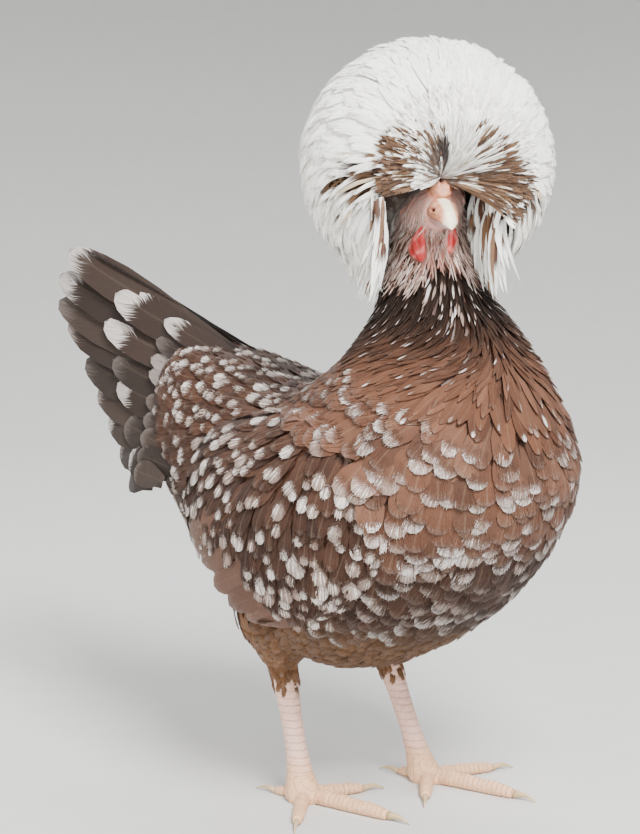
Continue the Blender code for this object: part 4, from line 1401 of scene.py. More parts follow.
@dataclass
class Crest:
    """The globe of feathers on the head, its down inside, the fan above the comb and the curtain."""

    seed: int = 41
    along: tuple[float, ...] = (0.0, 0.25, 0.50, 0.72, 0.87, 0.96, 1.0)
    fan_along: tuple[float, ...] = (0.0, 0.30, 0.60, 0.82, 0.94, 1.0)
    gap: float = 0.0033
    tries: int = 60000
    length: float = 0.0330
    half: float = 0.0026
    depth: float = 0.0045
    thick: float = 0.00012
    droop: float = 0.12
    knob: Triple = (0.0185, 0.0, 0.0150)
    fan_count: int = 3800
    fan_reach: float = 0.050
    fan_thick: float = 0.00010
    curtain_count: int = 460
    down_voxel: float = 0.0028
    down_depth: float = 0.0052
    down_under_fan: float = 0.0045
    across: Triple = (0.682, -0.731, 0.0)
    above: Triple = (0.102, 0.095, 0.990)
    lobe_right: tuple[Triple, ...] = (
        (-0.062, -0.002, -0.010), (-0.050, 0.003, -0.020), (-0.041, 0.009, -0.020), (-0.030, 0.019, -0.020),
        (-0.017, 0.020, -0.014), (-0.008, 0.023, -0.008), (0.000, 0.017, 0.000),
    )
    lobe_left: tuple[Triple, ...] = (
        (0.000, 0.003, -0.006), (0.009, 0.005, -0.012), (0.015, 0.018, -0.020), (0.020, 0.024, -0.024),
        (0.030, 0.019, -0.026), (0.038, 0.011, -0.026), (0.046, -0.002, -0.022), (0.052, -0.008, -0.014),
    )
    pale: tuple[Triple, ...] = (
        (-0.0195, 0.0170, 0.0040), (-0.0095, 0.0145, 0.0036), (-0.0130, 0.0060, 0.0046),
        (-0.0110, -0.0040, 0.0060), (-0.0350, 0.0060, 0.0036), (0.0120, -0.0050, 0.0030),
        (0.0240, 0.0100, 0.0040), (0.0360, -0.0140, 0.0034),
    )

    def centre(self) -> Rows:
        """Gives the globe's middle."""
        return PLAN.crest_centre()

    def axes(self) -> tuple[Rows, Rows, Rows]:
        """Gives the level directions ahead and left, and up."""
        ahead = PLAN.head_way(1.0, 0.0, 0.0)
        ahead[2] = 0.0
        ahead = unit(ahead)
        up = np.array((0.0, 0.0, 1.0))
        return ahead, np.cross(up, ahead), up

    def rest(self, points: Rows) -> tuple[Rows, Rows]:
        """Puts points on the globe along its radius, and gives the normals there."""
        basis = np.array(self.axes())
        half = np.array(PLAN.crest_half)
        off = (points - self.centre()) @ basis.T
        off = off / np.linalg.norm(off / half, axis=1, keepdims=True)
        return self.centre() + off @ basis, unit((off / half ** 2) @ basis)

    def pole(self) -> Rows:
        """Gives the globe's point above the knob, from which the feathers spread."""
        ahead, _, up = self.axes()
        return self.rest((self.centre() + 0.1 * unit(ahead - 0.06 * up))[None])[0][0]

    def beside_knob(self, points: Rows) -> tuple[Rows, Rows]:
        """Gives how far points lie across and above the knob, as seen from ahead of the hen."""
        off = points - PLAN.on_head(*self.knob)
        return off @ np.array(self.across), off @ np.array(self.above)

    def heading(self, points: Rows, normals: Rows) -> Rows:
        """Gives the direction of the feathers: away from the knob, then down."""
        away = points - self.pole()
        apart = np.linalg.norm(away, axis=1)
        down = np.array((0.0, 0.0, -1.0))
        low = smooth(0.01, -0.04, points[:, 2] - self.centre()[2])
        weight = 1.4 * smooth(0.045, 0.115, apart) + 0.8 * low
        inward = PLAN.on_head(-0.004, 0.0, -0.03) - points
        inward[:, 2] = 0.0
        way = flat_to(away, normals) + weight[:, None] * down + 0.55 * low[:, None] * unit(inward)
        return flat_to(way, normals)

    def seeds(self) -> Rows:
        """Spreads roots evenly over the globe, outside the face and the neck."""
        rng = np.random.default_rng(self.seed)
        spots, _ = self.rest(self.centre() + 0.1 * unit(rng.normal(size=(self.tries, 3))))
        ahead, left, up = PLAN.head_parts(spots).T
        wide = 0.0235 + 0.012 * smooth(0.0, 0.035, ahead)
        bare = (np.abs(left) < wide) & (up < 0.016) & (ahead > -0.004)
        bare |= spots[:, 2] < self.centre()[2] - 0.050
        bare |= np.linalg.norm(spots - self.pole(), axis=1) < 0.027
        return thinned(spots, np.where(bare, 0.0, self.gap))

    def colours(self, points: Rows, rng: np.random.Generator) -> tuple[Rows, Rows]:
        """Gives each feather its ground colour and white tip by its place round the knob.

        Args:
            points: The places that take the colour.
            rng: The random row.

        Returns:
            The colours and the shares of white tip.
        """
        count = len(points)
        across, height = self.beside_knob(points + rng.normal(0.0, 0.0022, (count, 3)))
        lobe = np.zeros(count)
        for rows in (self.lobe_right, self.lobe_left):
            at, top, low = np.array(rows).T
            inside = smooth(-0.002, 0.002, np.interp(across, at, top) - height)
            inside *= smooth(-0.002, 0.002, height - np.interp(across, at, low))
            lobe = np.maximum(lobe, inside * (across > at[0]) * (across < at[-1]))
        light = np.zeros(count, bool)
        for at, high, size in self.pale:
            light |= np.hypot(across - at, height - high) < size
        lobe *= smooth(-0.004, 0.010, (points - self.centre()) @ self.axes()[0])
        luck, kind = rng.random(count), rng.random(count)
        brown = luck < lobe * np.where(light, 0.15, 0.95)
        mixed = tinted(rows_of(DARK_BROWN, count), TAN, rng.random(count) ** 0.7)
        ground = np.where(brown[:, None], mixed, np.array(CREST_WHITE))
        faded = ~brown & (lobe > 0.5)
        ground = dyed(ground, CREAM, faded & ~light)
        ground = dyed(ground, LILAC_WHITE, faded & light)
        tip = np.where(kind < 0.05, 0.12 + 0.3 * rng.random(count), UNMARKED)
        tip = np.where(brown, tip, ALL_WHITE)
        return ground, np.where(faded, np.where(light, 0.6, 0.1), tip)

    def chart(self, points: Rows) -> Rows:
        """Unwraps the globe: the turn about its upright axis against the height."""
        ahead, left, up = self.axes()
        off = unit(points - self.centre())
        turn = np.arctan2(off @ left, off @ ahead) / (2.0 * math.pi) + 0.5
        return PLAN.on_chart(turn, np.arccos(np.clip(off @ up, -1.0, 1.0)) / math.pi)

    def follow(self, roots: Rows, length: Rows, turn: Rows, along: Rows) -> tuple[Rows, Rows]:
        """Follows the globe from each root, and hangs free below it.

        Args:
            roots: Where the feathers grow.
            length: Their lengths.
            turn: How far each turns from the lie, in radians.
            along: The stations from 0 to 1.

        Returns:
            The places and normals at each station.
        """
        spot, normal = self.rest(roots)
        line, ups = [spot], [normal]
        way = turned(self.heading(spot, normal), normal, turn)
        for low, high in zip(along[:-1], along[1:]):
            fresh = turned(self.heading(spot, normal), normal, turn)
            hold = smooth(-0.056, -0.030, spot[:, 2] - self.centre()[2])[:, None]
            way = unit(hold * fresh + (1.0 - hold) * way)
            reach = spot + way * (length * (high - low))[:, None]
            laid, up = self.rest(reach)
            spot = reach + hold * (laid - reach)
            normal = unit(normal + hold * (up - normal))
            line.append(spot)
            ups.append(normal)
        return np.stack(line, 1), np.stack(ups, 1)

    def funnel(self, angle: Rows, part: Rows) -> tuple[Rows, Rows]:
        """Gives places on the hollow that widens from the knob to the globe's front.

        Args:
            angle: The turn about the knob, 0 upwards and growing to the hen's left.
            part: How far out each place is, 0 at the knob.

        Returns:
            The places and the normals.
        """
        ahead, left, up = self.axes()
        out = np.sin(angle)[:, None] * left + np.cos(angle)[:, None] * up
        laid, normal = self.rest(self.pole() + out * (self.fan_reach * part)[:, None])
        spread = PLAN.on_head(*self.knob) + out * (0.0005 + 0.014 * part)[:, None] - 0.002 * ahead
        hold = smooth(0.0, 0.62, part)[:, None]
        return spread + hold * (laid - spread), unit(normal + (1.0 - hold) * (ahead + 0.2 * out))

    def build_down(self) -> None:
        """Builds the soft mass inside the globe, which closes it between the feathers, with painted shade in
        its deep parts and beside the face.
        """
        obj = joined_copy("crest_down", ("crest",))
        recast(obj, self.down_voxel, 3)
        points, normals = points_of(obj), normals_of(obj)
        ripple = np.sin(points @ np.array((900.0, 700.0, 500.0)))
        ripple = ripple * np.sin(points @ np.array((-500.0, 800.0, 650.0)))
        points = points - normals * (self.down_depth - 0.0007 * ripple)[:, None]
        ahead, left, up = self.axes()
        off = points - self.pole()
        ring = np.hypot(off @ left, off @ up) / self.fan_reach
        own, normal = self.funnel(np.arctan2(off @ left, off @ up), ring)
        deep = own - normal * self.down_under_fan
        over = ((points - deep) @ ahead > 0.0) & (off @ ahead > -0.035) & (ring < 0.72)
        move_to(obj, np.where(over[:, None], deep, points))
        spots = points_of(obj)
        ground, _ = self.colours(spots, np.random.default_rng(self.seed + 7))
        # Painted shade: the down is darker the deeper it lies under the globe's surface.
        inside = smooth(0.016, 0.006, np.linalg.norm(spots - self.rest(spots)[0], axis=1))[:, None]
        ahead_at, left_at, up_at = PLAN.head_parts(spots).T
        # Painted shadow: the down in the hollow beside the face is dyed nearly black-brown.
        cave_shadow = smooth(0.040, 0.033, np.abs(left_at)) * smooth(0.022, 0.015, up_at)
        cave_shadow = cave_shadow * smooth(-0.012, -0.004, ahead_at)
        paint(obj.data, "ground", tinted(ground * (0.25 + 0.75 * inside), DARK_BROWN, 0.92 * cave_shadow))
        shade_smooth(obj)
        finish_piece(obj, DownFinish().make())

    def build_globe(self, material: bpy.types.Material) -> None:
        """Builds the long feathers of the globe and their loose barbs."""
        rng = np.random.default_rng(self.seed + 1)
        along = np.array(self.along)
        roots = self.seeds()
        count = len(roots)
        length = self.length * (0.80 + 0.40 * rng.random(count))
        turn = np.radians(rng.normal(0.0, 9.0, count))
        line, ups = self.follow(roots, length, turn, along)
        lift = -0.0002 + 0.0016 * rng.random(count) ** 2
        height = -self.depth + (self.depth + lift)[:, None] * along[None] ** 0.7
        line = line + ups * height[..., None]
        low = smooth(-0.005, -0.035, roots[:, 2] - self.centre()[2])
        blunt = outline(along, 0.30, 0.60, 2.0)
        point = outline(along, 0.30, 0.35, 1.15)
        shape = blunt[None] + low[:, None] * (point - blunt)[None]
        ground, tip = self.colours(line[:, 2], rng)
        tip = np.where(tip < 0.0, 0.30 + 0.20 * rng.random(count), tip)
        half = self.half * (0.8 + 0.4 * rng.random(count)) * (1.0 - 0.35 * low)
        half = np.where(tip < 1.0, 0.52 * half, half)
        vanes = Vanes(
            line, ups, half[:, None] * shape, ground, tip, 0.90 + 0.16 * rng.random(count),
            self.chart(roots), along, self.thick, self.droop,
        )
        finish_piece(vanes.mesh("crest_globe", self.seed + 2), material, ("crest",))
        loose = vanes.fringe(3, self.seed + 5, 0.0018, 0.00026)
        finish_piece(loose.mesh("crest_globe_barbs", self.seed + 6), material)

    def build_fan(self, material: bpy.types.Material) -> None:
        """Builds the narrow feathers that rise from the knob and spread over the globe's front."""
        rng = np.random.default_rng(self.seed + 3)
        count = self.fan_count
        along = np.array(self.fan_along)
        angle = np.radians(rng.uniform(-108.0, 132.0, count))
        start = rng.random(count) ** 0.75 * 0.80
        reach = 0.18 + 0.20 * rng.random(count)
        places = [self.funnel(angle, start + reach * share) for share in along]
        line, ups = (np.stack([place[k] for place in places], 1) for k in (0, 1))
        lift = 0.0004 + 0.0036 * rng.random(count) ** 1.5
        line = line + ups * (lift[:, None] * along[None] ** 1.2 - 0.001)[..., None]
        line = line + rng.normal(0.0, 0.0009, (count, 1, 3)) * along[None, :, None]
        half = 0.0005 + 0.0009 * (start + 0.4 * rng.random(count))
        tips = line[:, 3]
        ground, tip = self.colours(tips, rng)
        half = np.where(ground[:, 0] < 0.3, 0.8 * half, half)
        across, height = self.beside_knob(tips)
        puff = (across > 0.001) & (across < 0.018) & (height > 0.002) & (height < 0.022)
        soft = puff & (rng.random(count) < 0.85)
        ground = dyed(ground, LILAC_WHITE, soft)
        tip = np.where(soft, 0.5, tip)
        cream = ~soft & (ground[:, 0] > 0.5) & (rng.random(count) < 0.30)
        ground = dyed(ground, CREAM, cream)
        # Painted shadow: most feathers in the narrow strip above the knob, between the lobes, are dyed dark
        # brown without white tips.
        part = (np.abs(across) < 0.0026) & (height > 0.004) & (height < 0.016) & (rng.random(count) < 0.7)
        ground = dyed(ground, DARK_BROWN, part)
        tip = np.where(part, UNMARKED, tip)
        vanes = Vanes(
            line, ups, half[:, None] * outline(along, 0.45, 0.45, 1.3), ground, tip,
            0.75 + 0.45 * rng.random(count), self.chart(line[:, 0]), along, self.fan_thick, self.droop,
        )
        finish_piece(vanes.mesh("crest_fan", self.seed + 4), material)
        loose = vanes.fringe(2, self.seed + 10, 0.0022, 0.00018)
        finish_piece(loose.mesh("crest_fan_barbs", self.seed + 11), material)

    def build_curtain(self, material: bpy.types.Material) -> None:
        """Builds the pointed feathers that hang on both sides of the face."""
        rng = np.random.default_rng(self.seed + 8)
        count = self.curtain_count
        along = np.array(self.along)
        side = np.where(rng.random(count) < 0.5, 1.0, -1.0)
        on_left, on_right = rng.uniform(-0.002, 0.036, count), rng.uniform(0.004, 0.040, count)
        forward = np.where(side > 0.0, on_left, on_right)
        wide = np.where(side > 0.0, 0.0235, 0.0245 + 0.010 * smooth(0.0, 0.035, forward))
        wide = wide + rng.uniform(0.0, 0.006, count)
        places = zip(forward, side * wide, rng.uniform(-0.016, 0.012, count))
        roots = np.array([PLAN.on_head(*place) for place in places])
        ahead, left, _ = self.axes()
        length = 0.023 + 0.010 * rng.random(count)
        way = np.array((0.0, 0.0, -1.0)) - 0.12 * ahead + 0.10 * side[:, None] * left
        way = unit(way + rng.normal(0.0, 0.07, (count, 3)))
        line = roots[:, None] + way[:, None] * (length[:, None] * along[None])[..., None]
        line = line - (side[:, None] * left)[:, None] * (0.005 * along * (1.0 - along))[None, :, None]
        facing = unit(ahead - side[:, None] * 0.3 * left + rng.normal(0.0, 0.2, (count, 3)))
        half = (0.0009 + 0.0011 * rng.random(count))[:, None] * outline(along, 0.5, 0.35, 1.15)[None]
        kind = rng.random(count)
        ground = dyed(rows_of(CREST_WHITE, count), TAN, kind < 0.42)
        ground = dyed(ground, BROWN, kind < 0.24)
        tip = np.where(kind < 0.42, np.where(kind < 0.30, 0.45, UNMARKED), ALL_WHITE)
        vanes = Vanes(
            line, np.repeat(facing[:, None], len(along), axis=1), half, ground, tip,
            0.80 + 0.3 * rng.random(count), self.chart(roots), along, self.thick, self.droop,
        )
        finish_piece(vanes.mesh("crest_curtain", self.seed + 9), material)

    def build(self) -> None:
        """Builds the down, the globe, the fan and the curtain."""
        self.build_down()
        white = VaneFinish(
            "crest_vane", rough=0.8, sheen=0.3, contrast=0.16, relief=0.00012, rim_light=0.0,
            tip_colour=CREST_WHITE, dull_tip=CREST_WHITE,
        ).make()
        self.build_globe(white)
        self.build_fan(white)
        self.build_curtain(white)


@dataclass(frozen=True)
class TailRow:
    """One row of tail feathers, repeated on both sides.

    The reach is where they start and end, as shares of root to tip. Out is how far they lie
    outside the row below, and spread the first and last place in the fan, 0 low to 1 high.
    """

    name: str
    count: int
    reach: Pair
    out: float
    half: float
    spread: Pair
    white: float
    nodes: tuple[str, ...] = ()


@dataclass
class Tail:
    """The tail: a row of broad feathers on each side and the coverts over their roots."""

    seed: int = 71
    along: tuple[float, ...] = (0.0, 0.25, 0.50, 0.70, 0.84, 0.93, 0.98, 1.0)
    roots: tuple[Pair, ...] = ((0.126, 0.168), (0.110, 0.246))
    tips: tuple[Pair, ...] = (
        (0.158, 0.170), (0.182, 0.195), (0.206, 0.219), (0.231, 0.245), (0.256, 0.271), (0.247, 0.296),
    )
    wide: Pair = (0.036, 0.008)
    stack: float = 0.0011
    bow: float = 0.004
    rows: tuple[TailRow, ...] = (
        TailRow("tail_main", 9, (-0.10, 0.985), 0.0, 0.0125, (0.0, 1.0), 0.07, ("tail",)),
        TailRow("tail_coverts", 6, (-0.25, 0.60), 0.0040, 0.0115, (0.10, 0.96), 0.16),
        TailRow("tail_base", 9, (-0.45, 0.27), 0.0065, 0.0080, (0.05, 0.98), 0.20),
    )

    def lay(self, row: TailRow) -> tuple[Rows, Rows]:
        """Lays out one row of feathers on both sides of the tail.

        Args:
            row: The row's sizes.

        Returns:
            The lines and the normals.
        """
        rng = np.random.default_rng(self.seed + row.count)
        along = np.array(self.along)
        tips, roots = np.array(self.tips), np.array(self.roots)
        part = row.reach[0] + (row.reach[1] - row.reach[0]) * along
        lines, ups = [], []
        for side in (-1.0, 1.0):
            for index in range(row.count):
                share = row.spread[0] + (row.spread[1] - row.spread[0]) * index / (row.count - 1)
                share = np.clip(share + rng.normal(0.0, 0.012), 0.0, 1.0)
                place = share * (len(tips) - 1)
                tip = np.array([np.interp(place, range(len(tips)), tips[:, k]) for k in (0, 1)])
                root = roots[0] + share * (roots[1] - roots[0])
                flat = root + part[:, None] * (tip - root)
                width = self.wide[0] + share * (self.wide[1] - self.wide[0])
                width = width * (1.0 - 0.45 * part) * (1.0 - 0.3 * share)
                x = side * (width + row.out + self.stack * (row.count - index))
                bow = side * self.bow * (1.0 - 0.8 * share) * np.sin(math.pi * part)
                lines.append(np.stack((x + bow, flat[:, 0], flat[:, 1]), 1) + np.array(PLAN.shift))
                ups.append(np.tile(unit(np.array((side, 0.0, 0.25 + 0.6 * share))), (len(along), 1)))
        return np.array(lines), np.array(ups)

    def build(self) -> None:
        """Builds the main feathers and the coverts."""
        finish = VaneFinish(
            "tail_vane", rough=0.5, barb_count=60.0, rim_hook=0.02, fade=0.05, fray=0.30, contrast=0.5,
            relief=0.0002, shaft=0.02, tip_colour=(0.46, 0.42, 0.39), dull_tip=(0.24, 0.20, 0.18),
        ).make()
        rng = np.random.default_rng(self.seed)
        along = np.array(self.along)
        for row in self.rows:
            line, ups = self.lay(row)
            total = len(line)
            order, side = np.arange(total) % row.count, np.arange(total) // row.count
            half = np.tile(row.half * outline(along, 0.45, 0.66, 2.3), (total, 1))
            ground = rows_of(GREY_BROWN, total) * (0.55 + 0.5 * rng.random((total, 1)))
            white = rng.random(total) < 0.55
            tip = np.where(white, row.white * (0.5 + 1.0 * rng.random(total)), UNMARKED)
            tone = 0.85 + 0.3 * rng.random(total)
            chart = np.stack((0.1 + 0.8 * order / row.count, 0.3 + 0.4 * side), 1)
            vanes = Vanes(line, ups, half, ground, tip, tone, chart, along)
            finish_piece(vanes.mesh(row.name, self.seed + row.count), finish, row.nodes)


@dataclass
class Flight:
    """The plain flight feathers that show below the wing coverts."""

    skin: Skin
    seed: int = 91
    along: tuple[float, ...] = (0.0, 0.25, 0.50, 0.72, 0.88, 0.96, 1.0)
    count: int = 8
    edge: tuple[Pair, ...] = (
        (-0.030, 0.108), (-0.019, 0.1126), (0.0095, 0.1295), (0.034, 0.148), (0.044, 0.162),
    )
    way: Pair = (0.906, -0.42)
    aside: float = 0.085
    hidden: float = 0.030
    shown: float = 0.040
    shorter: float = 0.014
    stiff: float = 0.7
    half: float = 0.0082
    sunk: float = 0.0030
    stack: float = 0.00018

    def build(self) -> None:
        """Builds both wings' flight feathers along the surface of the wing."""
        rng = np.random.default_rng(self.seed)
        along = np.array(self.along)
        edge = np.array(self.edge)
        total = 2 * self.count
        order = np.tile(np.arange(self.count), 2)
        roots = []
        for side in (-1.0, 1.0):
            for index in range(self.count):
                share = index / (self.count - 1) * (len(edge) - 1)
                spot = np.array([np.interp(share, range(len(edge)), edge[:, k]) for k in (0, 1)])
                roots.append(PLAN.at(side * self.aside, *(spot - np.array(self.way) * self.hidden)))
        roots = np.array(roots)
        length = self.hidden + self.shown - self.shorter * order / self.count
        way = steady(np.array((0.0, *self.way)))
        line, ups = Lie(self.skin.tree).trace(roots, length, along, way, self.stiff, np.zeros(total))
        height = -self.sunk + self.stack * order[:, None] + self.sunk * along[None]
        half = np.tile(self.half * outline(along, 0.6, 0.7, 2.0), (total, 1))
        ground = rows_of(WARM_BROWN, total) * 0.80 * (0.85 + 0.3 * rng.random((total, 1)))
        vanes = Vanes(
            line + ups * height[..., None], ups, half, ground, np.full(total, UNMARKED),
            0.9 + 0.2 * rng.random(total), PLAN.chart(roots), along,
        )
        finish = VaneFinish("flight_vane", rough=0.5, barb_count=60.0, contrast=0.9, shaft=0.02).make()
        finish_piece(vanes.mesh("wing_flights", self.seed + 1), finish)


@dataclass
class Head:
    """Eyes, bill, claws and the small feathers of the face."""

    skin: Skin
    seed: int = 121
    along: tuple[float, ...] = (0.0, 0.35, 0.70, 0.92, 1.0)
    lower_voxel: float = 0.00045
    upper_voxel: float = 0.00040
    bill_root: float = 0.0203
    nostril: Pair = (0.0056, 0.0006)
    nostril_half: Pair = (0.0019, 0.0010)
    bill_tip: float = 0.0140
    eye_way: Triple = (0.18, 1.0, 0.10)
    finest: float = 0.0012
    stiff: float = 0.6
    thick: float = 0.00006

    def horn_nodes(self) -> None:
        """Builds the lower bill and the claws."""
        lower = joined_copy("bill_lower", ("beak_lower",))
        recast(lower, self.lower_voxel, 3)
        names = tuple(name for name in sorted(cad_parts) if name.startswith("claw_"))
        horn = HornFinish(
            "bill_lower_horn", (0.62, 0.34, 0.30), (0.58, 0.42, 0.40),
            tuple(PLAN.on_head(0.020, 0.0, 0.0)), tuple(PLAN.on_head(0.040, 0.0, -0.004)),
        )
        claw = HornFinish(
            "claw_horn", (0.42, 0.27, 0.15), (0.55, 0.40, 0.22), (0.0, 0.0, 0.02), (0.0, 0.0, 0.0),
        )
        for obj, finish, slot, nodes in (
            (lower, horn, "bill_horn", ("beak_lower",)),
            (joined_copy("claws", names), claw, "claw_horn", names),
        ):
            shade_smooth(obj)
            finish_piece(obj, finish.make(), nodes)

    def upper_bill(self) -> None:
        """Builds the upper bill with its fleshy base, its nostrils, its pale tip and a painted highlight
        along its ridge.
        """
        bill = joined_copy("bill_upper", ("beak_upper",))
        recast(bill, self.upper_voxel, 5)
        points, normals = points_of(bill), normals_of(bill)
        ahead, left, up = PLAN.head_parts(points).T
        out = ahead - self.bill_root
        off, rise = out - self.nostril[0], up - self.nostril[1]
        long, high = self.nostril_half
        aside = np.abs(left) > 0.002
        hole = smooth(1.25, 0.45, np.hypot((off - 0.3 * rise) / long, rise / high)) * aside
        rim = bell(np.hypot(off / long, rise / high) - 1.6, 0.4) * aside
        flesh = smooth(0.0062, 0.0035, out) * smooth(-0.004, 0.0, up)
        points = points + normals * (0.00045 * flesh + 0.00018 * rim - 0.0011 * hole)[:, None]
        forward = PLAN.on_head(1.0, 0.0, 0.0) - PLAN.on_head(0.0, 0.0, 0.0)
        move_to(bill, points - np.outer(0.40 * np.maximum(out - self.bill_tip, 0.0), forward))
        # Painted highlight: the top of the ridge is painted pale, as is the tip.
        ridge = smooth(0.0036, 0.0020, np.abs(left)) * smooth(-0.001, 0.001, up + 0.3 * out)
        ridge = ridge * smooth(0.0, 0.003, out)
        ivory_and_highlight = np.maximum(ridge, smooth(0.0145, 0.0185, out))
        paint(bill.data, "horn", np.stack((ivory_and_highlight, hole, flesh), 1))
        shade_smooth(bill)
        finish_piece(bill, BillFinish().make(), ("beak_upper",))

    def eyes(self) -> None:
        """Builds each eye as a ball with a pupil, an iris and a clear front."""
        finish = EyeFinish().make()
        for side, name in ((1.0, "left"), (-1.0, "right")):
            low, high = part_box("eye_" + name)
            centre = (low + high) / 2.0
            radius = max(high - low) / 2.0
            deselect()
            bpy.ops.mesh.primitive_uv_sphere_add(segments=40, ring_count=24, radius=radius, location=centre)
            eye = bpy.context.object
            eye.name = "eyeball_" + name
            bpy.ops.object.transform_apply(location=True, rotation=True, scale=True)
            ahead, left, up = self.eye_way
            out = PLAN.head_way(*Vector((ahead, side * left, up)).normalized())
            off = unit(points_of(eye) - np.array(centre))
            facing = np.degrees(np.arccos(np.clip(off @ out, -1.0, 1.0)))
            bulge = 0.05 * smooth(46.0, 10.0, facing)
            move_to(eye, np.array(centre) + off * (radius * (1.0 + bulge))[:, None])
            paint(eye.data, "ring", np.repeat((facing / 52.0)[:, None], 3, 1))
            shade_smooth(eye)
            finish_piece(eye, finish, ("eye_" + name,))

    @staticmethod
    def gap(spots: Rows) -> Rows:
        """Gives the spacing of the face's feathers, 0 round the eyes, on the knob and on the crown."""
        ahead, _, up = PLAN.head_parts(spots).T
        eye = np.hypot(ahead - 0.003, up - 0.003) < 0.0075
        tight = 0.0013 + 0.0005 * smooth(-0.012, 0.004, up)
        return np.where(eye | (ahead > 0.0195) | (up > 0.014), 0.0, tight)

    def face_feathers(self) -> None:
        """Grows the short hair-like feathers of cheeks and throat."""
        points, faces = self.skin.points, self.skin.faces
        middle = points[faces].mean(1)
        near = np.linalg.norm(PLAN.head_parts(middle), axis=1) < 0.045
        apart = distances(tree_of(FACE_NODES[1:]), middle[near], 0.004)
        chosen = np.nonzero(near)[0][apart > self.finest]
        roots = scatter(points, faces[chosen], self.gap, self.seed, self.finest)
        rng = np.random.default_rng(self.seed + 1)
        count = len(roots)
        along = np.array(self.along)
        ahead, left, up = PLAN.head_parts(roots).T
        throat = smooth(-0.008, -0.016, up)
        cheek = smooth(0.0105, 0.0160, np.abs(left)) * smooth(0.012, 0.004, ahead) * (1.0 - throat)
        length = (0.0062 + 0.0032 * throat + 0.0040 * cheek) * (0.7 + 0.6 * rng.random(count))
        turn = np.radians(rng.normal(0.0, 14.0, count))
        way = steady(PLAN.head_way(-0.35, 0.0, -1.0))
        line, ups = Lie(self.skin.tree).trace(roots, length, along, way, self.stiff, turn)
        lift = 0.0004 + 0.0014 * rng.random(count) + 0.0048 * cheek * rng.random(count)
        line = line + ups * (lift[:, None] * along[None] + 0.00005)[..., None]
        half = 0.00030 + 0.00014 * throat + 0.00026 * cheek
        pale = rng.random(count) ** (0.35 + 1.3 * throat)
        ground = tinted(rows_of(BROWN, count), FACE_DOWN, pale)
        ground = tinted(ground, CHIN_RED, 0.55 * throat * bell(left, 0.007) * bell(up + 0.022, 0.010))
        tip = np.where(rng.random(count) < 0.25, 0.6, UNMARKED)
        vanes = Vanes(
            line, ups, half[:, None] * outline(along, 0.7, 0.4, 1.4)[None], ground, tip,
            0.8 + 0.5 * rng.random(count), PLAN.chart(roots), along, self.thick, 0.1,
        )
        finish = VaneFinish("face_vane", rough=0.7, contrast=0.3).make()
        finish_piece(vanes.mesh("face_feathers", self.seed + 2), finish)

    def build(self) -> None:
        """Builds and dresses all that the head has besides its skin."""
        self.horn_nodes()
        self.upper_bill()
        self.eyes()
        self.face_feathers()


@dataclass(frozen=True)
class Lamp:
    """A soft square lamp that faces the hen: its turn and height in degrees, and its panel."""

    name: str
    azimuth: float
    elevation: float
    distance: float
    size: float
    power: float


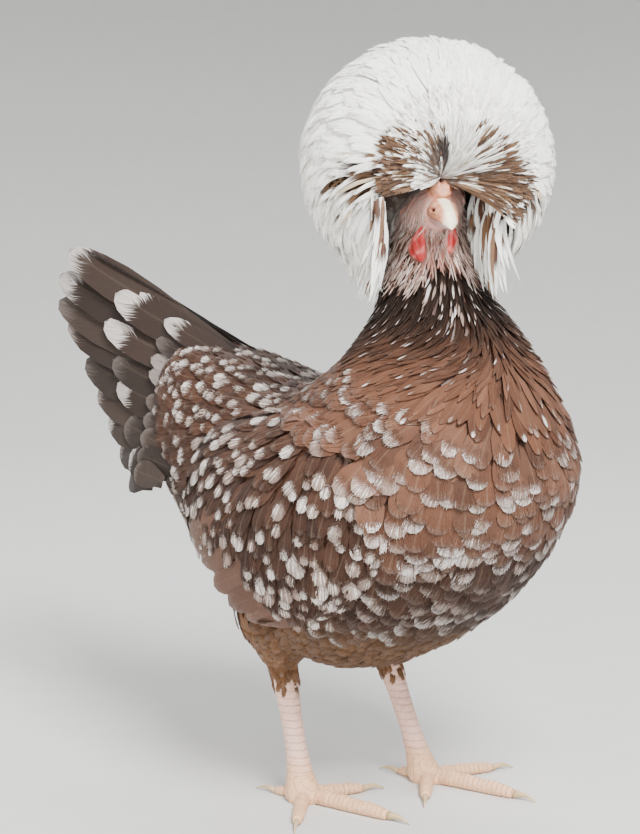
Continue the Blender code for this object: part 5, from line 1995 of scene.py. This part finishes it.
@dataclass
class Studio:
    """The floor, the soft lights and the camera."""

    azimuth: float = -47.0
    elevation: float = 8.0
    distance: float = 1.1
    target: Triple = (-0.017, 0.018, 0.213)
    lamp_target: Triple = (0.0, 0.0, 0.2)
    flat: float = 1.4
    bend: float = 2.2
    bend_steps: int = 16
    sensor: float = 24.0
    lens: float = 2000.0 / 834.0 * 24.0
    air: tuple[float, float, float, float] = (0.80, 0.84, 0.90, 1.0)
    air_power: float = 0.50
    lamps: tuple[Lamp, ...] = (
        Lamp("key_lamp", -25.0, 46.0, 2.0, 0.8, 105.0),
        Lamp("fill_lamp", -105.0, 22.0, 2.2, 1.6, 24.0),
        Lamp("rim_lamp", 130.0, 50.0, 2.2, 1.2, 40.0),
        Lamp("front_lamp", -50.0, 12.0, 1.9, 0.8, 16.0),
    )

    def floor(self) -> None:
        """Builds a plain pale floor that curves up all round, far from the hen."""
        deselect()
        bpy.ops.mesh.primitive_circle_add(
            vertices=96, radius=self.flat, fill_type="NGON", location=(0.0, 0.0, 0.0)
        )
        floor = bpy.context.object
        floor.name = "studio_floor"
        bpy.ops.object.mode_set(mode="EDIT")
        bpy.ops.mesh.select_mode(type="EDGE")
        bpy.ops.mesh.select_all(action="SELECT")
        bpy.ops.mesh.region_to_loop()
        reach = self.flat
        length = self.bend * math.pi / 2.0 / self.bend_steps
        for step in range(self.bend_steps):
            slope = math.radians(90.0 * (step + 0.5) / self.bend_steps)
            rise = (0.0, 0.0, length * math.sin(slope))
            bpy.ops.mesh.extrude_edges_move(TRANSFORM_OT_translate={"value": rise})
            grown = (reach + length * math.cos(slope)) / reach
            bpy.ops.transform.resize(value=(grown, grown, 1.0), center_override=(0.0, 0.0, 0.0))
            reach *= grown
        bpy.ops.object.mode_set(mode="OBJECT")
        bpy.ops.object.shade_smooth()
        floor.data.materials.append(FloorFinish().make())

    def aim(
        self, name: str, data: bpy.types.ID, azimuth: float, elevation: float, distance: float, target: Rows
    ) -> bpy.types.Object:
        """Adds a lamp or camera that looks at a place.

        Args:
            name: The object's name.
            data: The lamp's or camera's data.
            azimuth: Its turn round the hen in degrees.
            elevation: Its height in degrees.
            distance: How far away it is.
            target: The place that it looks at.

        Returns:
            The object.
        """
        obj = bpy.data.objects.new(name, data)
        turn, rise = math.radians(azimuth), math.radians(elevation)
        flat = math.cos(rise)
        back = Vector((math.sin(turn) * flat, -math.cos(turn) * flat, math.sin(rise)))
        obj.location = Vector(target) + back * distance
        obj.rotation_euler = back.to_track_quat("Z", "Y").to_euler()
        bpy.context.scene.collection.objects.link(obj)
        return obj

    def light(self, lamp: Lamp) -> None:
        """Adds one lamp, which the camera doesn't see."""
        light = bpy.data.lights.new(lamp.name, "AREA")
        light.energy = lamp.power
        light.size = lamp.size
        obj = self.aim(lamp.name, light, lamp.azimuth, lamp.elevation, lamp.distance, self.lamp_target)
        obj.visible_camera = False

    def build(self) -> None:
        """Sets up floor, lamps, air and camera."""
        self.floor()
        for lamp in self.lamps:
            self.light(lamp)
        world = bpy.data.worlds.new("studio_air")
        world.use_nodes = True
        background = world.node_tree.nodes["Background"]
        background.inputs["Color"].default_value = self.air
        background.inputs["Strength"].default_value = self.air_power
        bpy.context.scene.world = world
        camera = bpy.data.cameras.new("camera")
        camera.sensor_fit = "VERTICAL"
        camera.sensor_height = self.sensor
        camera.lens = self.lens
        camera.clip_start = 0.01
        target = PLAN.at(*self.target)
        bpy.context.scene.camera = self.aim(
            "camera", camera, self.azimuth, self.elevation, self.distance, target
        )


def main() -> None:
    """Builds the hen piece by piece."""
    logging.basicConfig(level=logging.INFO, format="%(message)s")
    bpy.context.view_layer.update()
    skin = Skin()
    skin.build()
    for piece in (Coat(skin), Flight(skin), Tail(), Crest(), Head(skin), Studio()):
        piece.build()
    deselect()


if __name__ == "__main__":
    main()
